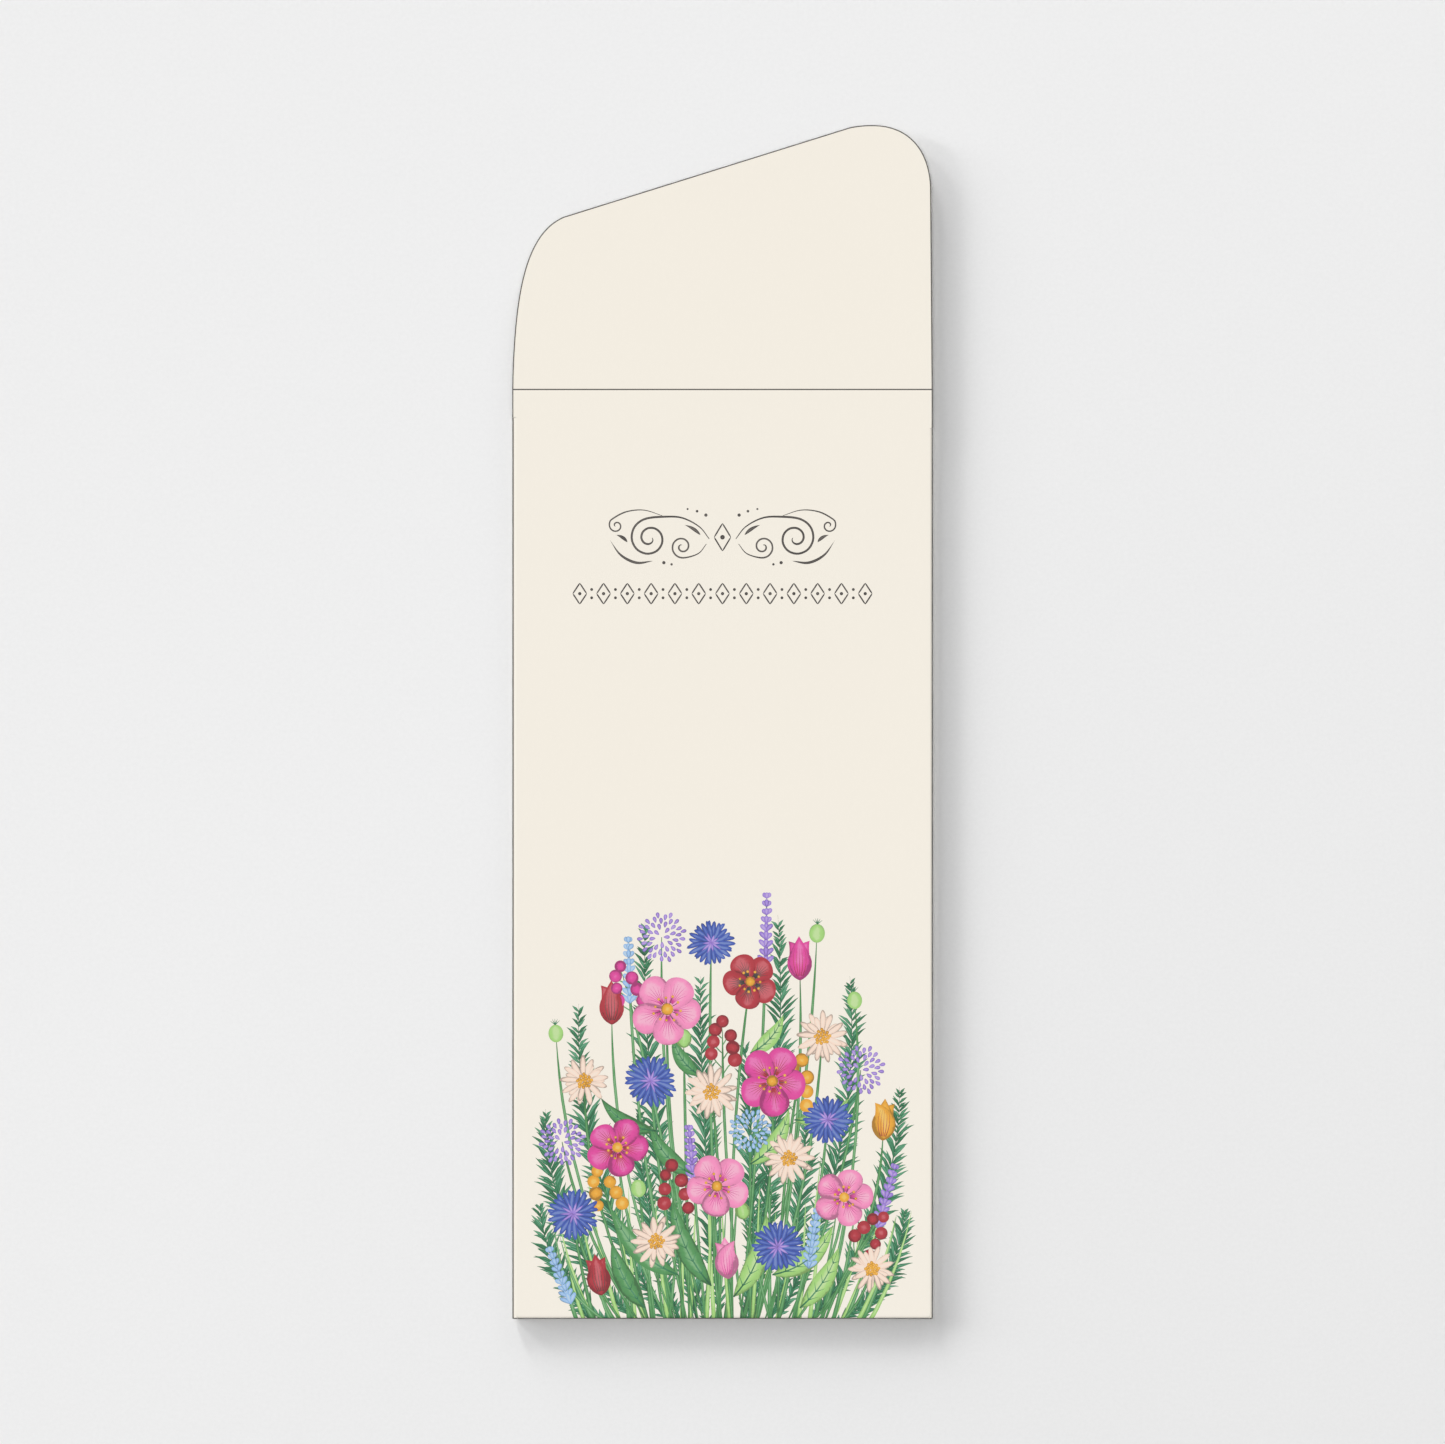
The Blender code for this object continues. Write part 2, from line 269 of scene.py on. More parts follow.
class Finish(NodeTree):
    """Procedural material of one finish"""

    def __init__(self, name, roughness):
        self.material = bpy.data.materials.new(name)
        super().__init__(self.material)
        self.shader = self.tree.nodes["Principled BSDF"]
        self.place = self.add("TexCoord").outputs["Object"]
        self.give("Roughness", roughness)

    def give(self, socket, value):
        """Sets or links one of the shader's own sockets."""
        self.join(value, self.shader.inputs[socket])

    def bump(self, height, strength):
        """Fine relief that follows a grain."""
        made = self.add("Bump", {"Height": height, "Strength": strength, "Distance": BUMP_DEPTH})
        self.give("Normal", made.outputs[0])

    def paper_tooth(self, strength):
        """Tooth of uncoated paper: short felted fibres under a fine grain."""
        self.bump(self.noise(self.place, CARD_TOOTH, detail=4, roughness=0.65), strength)


def card_material(name, colour):
    """Uncoated cream card: soft clouds of tone, fine fibres and a matt tooth."""
    finish = Finish(name, 0.86)
    clouds = finish.noise(finish.place, CARD_CLOUDS, detail=3)
    fibres = finish.noise(finish.stretched(finish.place, 1, 0.35, 1), CARD_FIBRES, detail=5, roughness=0.7)
    tone = finish.mixed(finish.between(clouds, 0.2, 0.8), scaled(colour, 0.988), scaled(colour, 1))
    fibre_tone = finish.mixed(fibres, scaled(WHITE, 0.98), scaled(WHITE, 1.015))
    finish.give("Base Color", finish.mixed(1.0, tone, fibre_tone, "MULTIPLY"))
    finish.give("Roughness", finish.between(fibres, 0.8, 0.92))
    finish.paper_tooth(0.25)
    return finish.material


def edge_material(name, colour):
    """Cut edge of the card, where its layered fibres show."""
    finish = Finish(name, 0.92)
    fibres = finish.noise(finish.stretched(finish.place, 1, 1, 12), EDGE_LAYERS, detail=4)
    finish.give("Base Color", finish.mixed(fibres, scaled(colour, 0.8), scaled(colour, 0.98)))
    finish.paper_tooth(0.4)
    return finish.material


def line_material(name, colour, card):
    """Thin printed line, a little broken by the tooth of the card; along the crease it is also painted shade
    in the score groove.
    """
    finish = Finish(name, 0.7)
    breaks = finish.between(finish.noise(finish.place, LINE_GRAIN, detail=3), 0, 0.1)
    finish.give("Base Color", finish.mixed(breaks, scaled(colour, 1), scaled(card, 0.75)))
    finish.paper_tooth(0.2)
    return finish.material


def ink_material(name, colour, card):
    """Watercolour wash: pigment gathers at the rim of each mark and thins to the card inside."""
    finish = Finish(name, 0.72)
    wash = finish.add("Attribute", attribute_name="wash").outputs["Fac"]
    blooms = finish.noise(finish.place, INK_BLOOMS, detail=4, roughness=0.6)
    grain = finish.noise(finish.place, INK_GRAIN, detail=3)
    uneven = finish.added(wash, finish.between(blooms, -0.5, 0.5))
    uneven = finish.added(uneven, finish.between(grain, -0.12, 0.12))
    ramp = finish.add("ValToRGB", {"Fac": uneven})
    ramp.color_ramp.interpolation = "EASE"
    first, last = ramp.color_ramp.elements
    last.position = THIN_PLACE
    last.color = [ink ** THIN_SHARE * paper ** (1 - THIN_SHARE) for ink, paper in zip(colour, card)] + [1]
    for position, strength in WASH_STOPS:
        stop = ramp.color_ramp.elements.new(position) if position else first
        stop.color = scaled(colour, strength)
    finish.give("Base Color", ramp.outputs["Color"])
    finish.paper_tooth(0.2)
    return finish.material


def film_material(name, colour, roughness, *streak):
    """Film of dry glue or gum, streaked along the way it was rolled on."""
    finish = Finish(name, roughness)
    streaks = finish.noise(finish.stretched(finish.place, *streak), FILM_STREAKS, detail=3)
    finish.give("Base Color", finish.mixed(streaks, scaled(colour, 0.86), scaled(colour, 1.06)))
    finish.bump(streaks, 0.3)
    finish.give("Coat Weight", 0.3)
    finish.give("Coat Roughness", 0.2)
    return finish.material


# Folded card

# A curved outline comes as short straight facets, whose turns are small
LONGEST_FACET = 0.005
SHORTEST_FACET = 0.001
SHARPEST_TURN = radians(25)
FACET_CUTS = 3
# Rows that let the card bend at its crease, as shares of half the crease's width
CREASE_ROW_SHARES = (0.35, 0.5, 0.65, 0.8, 1.0)
# Row inside the groove, as a share of the groove's reach
SCORE_ROW_SHARE = 0.7
# How far round a fold's shoulder the printed line lies, from straight up
LINE_FROM, LINE_TO = radians(44), radians(79)
# Turns sharper than this stay crisp in the shading
CRISP_TURN = radians(32)
# Material slots of the card
LINE_SLOT, CARD_SLOT, EDGE_SLOT = 0, 1, 3


def heading(before, place, after):
    """Direction of a curved outline at one of its points, or nothing where the curve ends."""
    arriving, leaving = place - before, after - place
    if max(arriving.length, leaving.length) > LONGEST_FACET or arriving.angle(leaving) > SHARPEST_TURN:
        return None
    return (arriving.normalized() * leaving.length + leaving.normalized() * arriving.length).normalized()


def mirrored_heading(direction, along):
    """Direction at the other end of a facet of even curvature that runs along that way."""
    return 2 * direction.dot(along) * along - direction


def round_outline(panel):
    """Cuts the longer facets of a curved outline, and puts the new points on a smooth curve."""
    loops = [(loop.vert.co.copy(), loop.edge) for loop in panel.faces[:][0].loops]
    places = [place for place, _ in loops]
    for index, (start, edge) in enumerate(loops):
        before, end, after = (places[(index + step) % len(places)] for step in (-1, 1, 2))
        leaving, arriving = heading(before, start, end), heading(start, end, after)
        chord = end - start
        if not SHORTEST_FACET < chord.length < LONGEST_FACET or not (leaving or arriving):
            continue
        along = chord.normalized()
        leaving = leaving or mirrored_heading(arriving, along)
        arriving = arriving or mirrored_heading(leaving, along)
        near = start + leaving * chord.length / 3
        far = end - arriving * chord.length / 3
        made = bmesh.ops.subdivide_edges(panel, edges=[edge], cuts=FACET_CUTS)["geom_inner"]
        verts = [item for item in made if isinstance(item, bmesh.types.BMVert)]
        verts.sort(key=lambda vert: (vert.co - start).length)
        for vert, place in zip(verts, interpolate_bezier(start, near, far, end, FACET_CUTS + 2)[1:-1]):
            vert.co = place


def add_panel(bm, node, height):
    """One flat face with the outline of a CAD panel, at that height."""
    panel = bmesh.new()
    panel.from_mesh(frame["nodes"][node].data)
    bmesh.ops.remove_doubles(panel, verts=panel.verts, dist=WELD)
    hidden = [face for face in panel.faces if face.normal.z < 0.5]
    bmesh.ops.delete(panel, geom=hidden, context="FACES")
    bmesh.ops.dissolve_faces(panel, faces=panel.faces[:], use_verts=False)
    round_outline(panel)
    snap_to_folds(panel.verts)
    for vert in panel.verts:
        vert.co.z = height
    for face in panel.faces:
        face.material_index = CARD_SLOT
    carrier = bpy.data.meshes.new("carrier")
    panel.to_mesh(carrier)
    panel.free()
    bm.from_mesh(carrier)
    bpy.data.meshes.remove(carrier)


def on_line(co, line):
    """Whether a point lies on a fold line, or close enough beside it."""
    axis, place, top_y = line
    return abs(co[axis] - place) < SNAP and co.y < top_y + SNAP


def snap_to_folds(verts):
    """Puts the points that lie close beside a fold line on to it."""
    for line in FOLD_LINES:
        axis, place, _ = line
        for vert in verts:
            if on_line(vert.co, line):
                vert.co[axis] = place


def snap_to_y(bm, old, new, reach):
    """Moves the points within reach of one line across the holder to another."""
    for vert in bm.verts:
        if abs(vert.co.y - old) < reach:
            vert.co.y = new


def corners_of(items):
    """Corners of some faces or edges, each once and in the same order on every run."""
    return list(dict.fromkeys(vert for item in items for vert in item.verts))


def with_edges(faces):
    """Faces with their corners and edges, each once and in the same order on every run."""
    edges = list(dict.fromkeys(edge for face in faces for edge in face.edges))
    return corners_of(faces) + edges + faces


def cut_across(bm, axis, value, faces=None):
    """Cuts every face, or only those given, at one value of an axis."""
    faces = bm.faces[:] if faces is None else faces
    normal = Vector((0, 0, 0))
    normal[axis] = 1
    bmesh.ops.bisect_plane(bm, geom=with_edges(faces), dist=WELD, plane_co=normal * value, plane_no=normal)


def cut_at_corners(bm):
    """Cuts in line with the corners of the back panel and the tabs, so that every fold meets its panel."""
    cut_across(bm, 1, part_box("back_panel")[LOW].y)
    cut_across(bm, 1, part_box("side_tab")[LOW].y)
    cut_across(bm, 0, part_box("bottom_tab")[LOW].x)
    cut_across(bm, 0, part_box("bottom_tab")[HIGH].x)


def edges_where(bm, test):
    """Open edges whose two ends both pass a test."""
    return [edge for edge in bm.edges if edge.is_boundary and all(test(vert.co) for vert in edge.verts)]


def turns_under(edge):
    """Whether the card turns under along an edge."""
    return any(all(on_line(vert.co, line) for vert in edge.verts) for line in FOLD_LINES)


def ends_fold(edge):
    """Whether an edge lies across the holder where a side fold ends."""
    return any(all(abs(vert.co.y - top_y) < SNAP for vert in edge.verts) for top_y in SIDE_FOLD_TOPS)


def lay_front(bm):
    """Printed panel and flap, joined at the crease into one face."""
    for node in ("front_panel", "closure_flap"):
        add_panel(bm, node, MIDDLE_Z)
    for old in (FRONT[HIGH].y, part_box("closure_flap")[LOW].y):
        snap_to_y(bm, old, CREASE_Y, WELD)
    for top_y in SIDE_FOLD_TOPS:
        snap_to_y(bm, top_y, top_y, SNAP)
    bmesh.ops.remove_doubles(bm, verts=bm.verts, dist=WELD)
    return bmesh.ops.dissolve_faces(bm, faces=bm.faces[:], use_verts=False)["region"]


def ink_rim(bm, printed, line):
    """Makes a rim as wide as the printed line, inked where the card was cut."""
    rim = bmesh.ops.inset_region(bm, faces=printed, thickness=line, use_boundary=True, use_even_offset=True)
    for face in bm.faces:
        face.material_index = CARD_SLOT
    for face in rim["faces"]:
        outer = [edge for edge in face.edges if edge.is_boundary]
        if outer and not any(turns_under(edge) or ends_fold(edge) for edge in outer):
            face.material_index = LINE_SLOT

    # Down each side the line runs on to the end of the fold
    for x in (LEFT_X + line, RIGHT_X - line):
        edges = [edge for edge in bm.edges if edge.is_boundary and ends_fold(edge)]
        cut_across(bm, 0, x, [face for face in bm.faces if any(edge in edges for edge in face.edges)])
    for face in bm.faces:
        if not LEFT_X + line < face.calc_center_median().x < RIGHT_X - line:
            face.material_index = LINE_SLOT


def score_crease(bm, settings):
    """Cuts rows across the crease, where the card bends, shapes the score, and inks a dark line in it that
    is printed line and painted shade of the groove.
    """
    rows = [settings.crease_shade_line / 2, SCORE_ROW_SHARE * settings.score_reach, settings.score_reach]
    rows += [CREASE_HALF * share for share in CREASE_ROW_SHARES]
    for row in rows:
        cut_across(bm, 1, CREASE_Y - row)
        cut_across(bm, 1, CREASE_Y + row)
    for vert in bm.verts:
        off = abs(vert.co.y - CREASE_Y)
        if off < settings.score_reach:
            vert.co.z -= settings.score_depth * (1 + cos(pi * off / settings.score_reach)) / 2
    # The line along the crease is printed line and painted shade in the score groove
    for face in bm.faces:
        if abs(face.calc_center_median().y - CREASE_Y) < rows[0]:
            face.material_index = LINE_SLOT


def turn_under(bm, edges, centre, axis, steps):
    """Folds the card half a turn from its open edges round an axis."""
    bmesh.ops.spin(bm, geom=corners_of(edges) + edges, cent=centre, axis=axis, angle=pi, steps=steps)


def draw_in(verts, axis, end, relief):
    """Moves the points at the end of a fold clear of the card beside it."""
    for vert in verts:
        if abs(vert.co[axis] - end) < WELD:
            vert.co[axis] += relief


def turn_folds(bm, steps):
    """Turns the card under along its bottom and both sides, and draws the folds' ends in."""
    on_left = edges_where(bm, lambda co: on_line(co, LEFT_LINE))
    on_right = edges_where(bm, lambda co: on_line(co, RIGHT_LINE))
    on_bottom = edges_where(bm, lambda co: on_line(co, BOTTOM_LINE))
    turn_under(bm, on_bottom, (0, BOTTOM_FOLD_Y, MIDDLE_Z - TAB_TURN), (1, 0, 0), steps)
    turned = [vert for vert in bm.verts if vert.co.z < MIDDLE_Z - WELD and vert.co.y < BOTTOM_FOLD_Y + WELD]
    draw_in(turned, 0, LEFT_FOLD_X, END_RELIEF)
    draw_in(turned, 0, RIGHT_FOLD_X, -END_RELIEF)
    turn_under(bm, on_left, (LEFT_FOLD_X, 0, MIDDLE_Z - BACK_TURN), (0, -1, 0), steps)
    turn_under(bm, on_right, (RIGHT_FOLD_X, 0, MIDDLE_Z - TAB_TURN), (0, 1, 0), steps)
    turned = [vert for vert in bm.verts if TAB_Z + SNAP < vert.co.z < MIDDLE_Z - WELD and vert.co.y > 0]
    for top_y in SIDE_FOLD_TOPS:
        draw_in(turned, 1, top_y, -END_RELIEF)


def lengthen_fold(bm, outside, moves):
    """Carries the end of a side fold on to the holder's bottom corner."""
    edges = edges_where(bm, lambda co: abs(co.y - BOTTOM_FOLD_Y) < WELD and outside(co.x))
    for move in moves:
        made = bmesh.ops.extrude_edge_only(bm, edges=edges)["geom"]
        verts = [item for item in made if isinstance(item, bmesh.types.BMVert)]
        edges = [item for item in made if isinstance(item, bmesh.types.BMEdge)]
        bmesh.ops.translate(bm, verts=verts, vec=(0, -move, 0))


def ink_folds(bm, line):
    """Continues the printed line round the shoulder of each fold."""
    low, high = cos(LINE_TO), cos(LINE_FROM)
    for face in bm.faces:
        centre = face.calc_center_median()
        outside_left = centre.x < LEFT_FOLD_X - WELD
        outside_right = centre.x > RIGHT_FOLD_X + WELD and centre.y < RIGHT_FOLD_TOP_Y
        outside_bottom = centre.y < BOTTOM_FOLD_Y - WELD
        if outside_left and centre.y < LEFT_FOLD_TOP_Y:
            radius = BACK_TURN
        elif outside_right or outside_bottom:
            radius = TAB_TURN
        else:
            continue
        height = (centre.z - (MIDDLE_Z - radius)) / radius
        face.material_index = LINE_SLOT if low < height < high else CARD_SLOT
        at_corner = outside_left or outside_right
        if at_corner and centre.y < BOTTOM_Y + line and height > low:
            face.material_index = LINE_SLOT


def face_outwards(bm):
    """Turns the faces the same way, with the printed panel's up."""
    bmesh.ops.recalc_face_normals(bm, faces=bm.faces)
    front = [face for face in bm.faces if face.calc_center_median().z > TAB_Z + SNAP]
    if max(front, key=lambda face: face.calc_area()).normal.z < 0:
        bmesh.ops.reverse_faces(bm, faces=bm.faces)


def fold_card(settings):
    """Middle surface of the whole folded sheet."""
    line = settings.line_width
    bm = bmesh.new()
    ink_rim(bm, lay_front(bm), line)
    score_crease(bm, settings)
    cut_at_corners(bm)
    turn_folds(bm, settings.fold_steps)
    for outside in (lambda x: x < LEFT_FOLD_X + WELD, lambda x: x > RIGHT_FOLD_X - WELD):
        lengthen_fold(bm, outside, (TAB_FOLD_RADIUS - line, line))
    ink_folds(bm, line)
    for node, height in (("back_panel", BACK_Z), ("side_tab", TAB_Z), ("bottom_tab", TAB_Z)):
        add_panel(bm, node, height)
    cut_at_corners(bm)
    bmesh.ops.remove_doubles(bm, verts=bm.verts, dist=WELD)
    face_outwards(bm)
    return bm


def make_mesh_object(name, bm, materials):
    """Object at the origin from a finished bmesh."""
    mesh = bpy.data.meshes.new(name)
    bm.to_mesh(mesh)
    bm.free()
    for material in materials:
        mesh.materials.append(material)
    made = bpy.data.objects.new(name, mesh)
    bpy.context.scene.collection.objects.link(made)
    return made


def give_thickness(made, thickness, **settings):
    """Turns an object's surface into a wall."""
    wall = made.modifiers.new("thickness", "SOLIDIFY")
    wall.thickness = thickness
    for name, value in settings.items():
        setattr(wall, name, value)
    evaluated = made.evaluated_get(bpy.context.evaluated_depsgraph_get())
    mesh = bpy.data.meshes.new_from_object(evaluated)
    surface = made.data
    made.modifiers.clear()
    made.data = mesh
    bpy.data.meshes.remove(surface)
    mesh.name = made.name


class HOLDER_OT_fold_card(bpy.types.Operator):
    """Fold one sheet of card into the pocket, its tabs and the open flap"""

    bl_idname = "money_holder.fold_card"
    bl_label = "Fold the card"

    def execute(self, context):
        settings = context.scene.holder_card
        card = make_mesh_object("folded_card", fold_card(settings), [
            line_material("card_line", settings.line_colour, settings.colour),
            card_material("printed_card", settings.colour),
            card_material("inner_card", scaled(settings.colour, 0.985)),
            edge_material("card_edge", settings.colour),
        ])
        give_thickness(
            card, CARD_THICKNESS, offset=0, use_even_offset=True, use_quality_normals=True,
            material_offset=CARD_SLOT, material_offset_rim=EDGE_SLOT,
        )
        card.data.shade_smooth()
        card.data.set_sharp_from_angle(angle=CRISP_TURN)
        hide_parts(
            "front_panel", "flap_crease", "closure_flap", "left_fold", "right_fold", "bottom_fold",
            "back_panel", "side_tab", "bottom_tab",
        )
        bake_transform(card)
        return {"FINISHED"}


class HOLDER_OT_finish_films(bpy.types.Operator):
    """Give the glue lines and the flap's gum their finish"""

    bl_idname = "money_holder.finish_films"
    bl_label = "Glue and gum"

    def execute(self, context):
        glue = film_material("dry_glue", srgb(232, 228, 214), 0.45, 1, 1, 1)
        gum = film_material("flap_gum", srgb(226, 214, 184), 0.22, 0.1, 1, 1)
        for node, film in (("side_glue_line", glue), ("bottom_glue_line", glue), ("flap_gum", gum)):
            frame["nodes"][node].data.materials[0] = film
        return {"FINISHED"}


# Printed marks

# The middle of the panel's bottom edge, from which the print is measured in millimetres
PRINT_ORIGIN = Vector((0, BOTTOM_Y, PRINTED_Z))
# Heights of the films of ink over the card: the lowest level, each next one, and each next mark in a level
LEVEL_GAP = 0.000008
LEVEL_STEP = 0.000007
MARK_STEP = 0.0000008
MARK_STEPS = 7
INK_THICKNESS = 0.0000005
# Half width below which no mark narrows, in millimetres
THINNEST = 0.012
# How much the tone of like marks varies, and how steeply a mark's ends and a dot's rim darken
TONE_SPREAD = 0.2
END_DEPTH = 5
DOT_DEPTH = 2
UV_MARGIN = 0.01
# Angle in degrees between neighbours in a spiral of packed florets
SPIRAL = 137.5
# Share of its radius that a scroll loses as it winds in
CURL_LOSS = 0.86
# Flat strips already made, by their number of steps
strips = {}


# Widths along a mark, as shares of its half width

def leaf_shape(share):
    return sin(pi * share ** 0.8)


def petal_shape(share):
    widest = 0.64
    if share > widest:
        return sqrt(max(0, 1 - ((share - widest) / (1 - widest)) ** 2))
    return 0.2 + 0.8 * sin(pi / 2 * share / widest)


def disc_shape(share):
    return 2 * sqrt(share * (1 - share))


def blade_shape(share):
    return (1 - share) ** 0.7


def line_shape(share):
    return min(1, 0.35 + 4 * share, 0.25 + 5 * (1 - share))


# Strokes of the brush: shape, half width in millimetres or as a share of a size, steps, and fade to the tip
STROKES = {
    "frond_spine": (blade_shape, 0.28, 14, 0),
    "leaflet": (leaf_shape, 1, 4, 0.5),
    "grass_blade": (blade_shape, 0.42, 7, 0.3),
    "stem": (line_shape, 0.26, 14, 0),
    "twig": (line_shape, 0.11, 4, 0),
    "broad_leaf": (leaf_shape, 1, 16, 0.2),
    "midrib": (blade_shape, 0.15, 10, 0),
    "vein": (blade_shape, 0.09, 3, 0),
    "pod": (disc_shape, 0.42, 12, 0),
    "pod_crown": (blade_shape, 0.1, 3, 0),
    "blossom_petal": (petal_shape, 0.44, 18, 0.35),
    "blossom_streak": (blade_shape, 0.09, 6, 0),
    "stamen": (line_shape, 0.06, 4, 0),
    "daisy_petal": (petal_shape, 0.12, 8, -0.2),
    "cornflower_floret": (petal_shape, 0.11, 6, 0.2),
    "cornflower_tuft": (leaf_shape, 0.24, 5, 0),
    "tulip_petal": (leaf_shape, 1, 16, 0.35),
    "tulip_streak": (blade_shape, 0.07, 6, 0),
    "globe_floret": (petal_shape, 0.34, 5, 0),
    "spike_bud": (petal_shape, 0.44, 5, 0.2),
    "main_scroll": (line_shape, 0.19, 120, 0),
    "under_scroll": (line_shape, 0.15, 90, 0),
    "tail_scroll": (line_shape, 0.13, 80, 0),
    "foot_leaf": (leaf_shape, 0.24, 40, 0),
    "small_leaf": (leaf_shape, 0.3, 16, 0),
    "lozenge_side": (line_shape, 0.13, 4, 0),
}


def strip_mesh(steps):
    """Flat strip three points wide, from which every mark of the brush is shaped."""
    if steps not in strips:
        bm = bmesh.new()
        bmesh.ops.create_grid(bm, x_segments=steps, y_segments=2, size=0.5)
        strips[steps] = bpy.data.meshes.new("strip")
        bm.to_mesh(strips[steps])
        bm.free()
    return strips[steps]


def polar(angle, length):
    """Step of that length at an angle in degrees, counted from the right."""
    return Vector((cos(radians(angle)), sin(radians(angle)))) * length


def arc(start, end, bend):
    """Curve between two points that bows to its left by a distance."""
    chord = end - start
    side = Vector((-chord.y, chord.x)).normalized()
    middle = (start + end) / 2 + side * bend * 2

    def at(share):
        return start * (1 - share) ** 2 + middle * 2 * share * (1 - share) + end * share ** 2

    return at


def through(points):
    """Smooth curve through given points."""
    last = len(points) - 2
    placed = [2 * points[0] - points[1], *points, 2 * points[-1] - points[-2]]

    def at(share):
        index = min(int(share * (last + 1)), last)
        part = share * (last + 1) - index
        before, start, end, after = placed[index:index + 4]
        turn = 2 * before - 5 * start + 4 * end - after
        twist = 3 * start - before - 3 * end + after
        return start + ((end - before) * part + turn * part ** 2 + twist * part ** 3) / 2

    return at


def curl(centre, radius, first, turns, count):
    """Points of a scroll that winds inwards."""
    places = []
    for step in range(count + 1):
        share = step / count
        places.append(Vector(centre) + polar(first + 360 * turns * share, radius * (1 - CURL_LOSS * share)))
    return places


class Sheet:
    """Marks of one printed piece, in millimetres, on its own level over the card"""

    def __init__(self, inks, level, seed):
        self.inks = inks
        self.bm = bmesh.new()
        self.wash = self.bm.verts.layers.float.new("wash")
        self.height = LEVEL_GAP + level * LEVEL_STEP
        self.count = 0
        self.random = Random(seed)

    def vary(self, spread):
        """Random amount, up to the spread either way."""
        return self.random.uniform(-spread, spread)

    def brush(self, ink, curve, half_width, shape, steps, fade=0.0, end_depth=END_DEPTH, spread=TONE_SPREAD):
        """One mark along a curve, as wide as its shape says, darker at its rim than inside."""
        tone = self.vary(spread)
        height = self.height + self.count % MARK_STEPS * MARK_STEP
        first_vert = len(self.bm.verts)
        first_face = len(self.bm.faces)
        self.bm.from_mesh(strip_mesh(steps))
        self.bm.verts.ensure_lookup_table()
        self.bm.faces.ensure_lookup_table()
        for vert in self.bm.verts[first_vert:]:
            share = 0.5 - 0.5 * cos(pi * (vert.co.x + 0.5))
            ahead = curve(min(share + 0.01, 1)) - curve(max(share - 0.01, 0))
            side = Vector((-ahead.y, ahead.x)).normalized()
            place = curve(share) + side * 2 * vert.co.y * max(half_width * shape(share), THINNEST)
            inside = (1 - abs(2 * vert.co.y)) * min(1, end_depth * share, end_depth * (1 - share))
            vert[self.wash] = inside + tone + fade * (share - 0.5)
            vert.co = PRINT_ORIGIN + Vector((place.x, place.y, 0)) * MILLIMETRE
            vert.co.z += height
        for face in self.bm.faces[first_face:]:
            face.material_index = self.inks.index(ink)
        self.count += 1

    def stroke(self, kind, ink, curve, size=1, spread=TONE_SPREAD):
        """Mark of one of the named kinds, its width scaled by a size."""
        shape, half_width, steps, fade = STROKES[kind]
        self.brush(ink, curve, half_width * size, shape, steps, fade, spread=spread)

    def dot(self, ink, centre, radius, steps=6):
        """Round mark."""
        reach = polar(self.vary(180), radius)
        across = arc(centre - reach, centre + reach, 0)
        self.brush(ink, across, radius, disc_shape, steps, end_depth=DOT_DEPTH)

    def lay_on_card(self, name):
        """Lays the marks on the card and round its bottom fold, and gives the ink its body."""
        scene = bpy.context.scene
        wrap_bottom(self.bm, scene.holder_card.fold_steps)
        inks = [ink_material(f"{name}_{ink}", getattr(scene.holder_ink, ink), scene.holder_card.colour)
                for ink in self.inks]
        piece = make_mesh_object(name, self.bm, inks)
        give_thickness(piece, INK_THICKNESS, offset=-1)
        lay_flat_uv(piece)
        piece.visible_shadow = False
        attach(piece, HINGE["parent"])


def wrap_bottom(bm, fold_steps):
    """Turns the marks that run off the panel over the shoulder of the bottom fold."""
    facet = TAB_FOLD_RADIUS * pi / fold_steps
    last = fold_steps // 4
    for step in range(last + 1):
        low = [face for face in bm.faces if any(vert.co.y < BOTTOM_FOLD_Y + SNAP for vert in face.verts)]
        bmesh.ops.bisect_plane(
            bm, geom=with_edges(low), dist=WELD / 10, plane_no=(0, 1, 0),
            plane_co=(0, BOTTOM_FOLD_Y - step * facet, 0), clear_inner=step == last,
        )
    for vert in bm.verts:
        over = BOTTOM_FOLD_Y - vert.co.y
        if over > 0:
            turn = over / TAB_FOLD_RADIUS
            radius = TAB_FOLD_RADIUS + vert.co.z - PRINTED_Z
            vert.co.y = BOTTOM_FOLD_Y - radius * sin(turn)
            vert.co.z = PRINTED_Z - TAB_FOLD_RADIUS + radius * cos(turn)


def lay_flat_uv(piece):
    """UV map of the piece as seen from above."""
    mesh = piece.data
    spans = []
    for axis in (0, 1):
        places = [vert.co[axis] for vert in mesh.vertices]
        spans.append((axis, min(places), max(places)))
    layer = mesh.uv_layers.new(name="OFBake")
    for loop in mesh.loops:
        place = mesh.vertices[loop.vertex_index].co
        layer.data[loop.index].uv = [
            UV_MARGIN + (1 - 2 * UV_MARGIN) * (place[axis] - low) / (high - low) for axis, low, high in spans
        ]


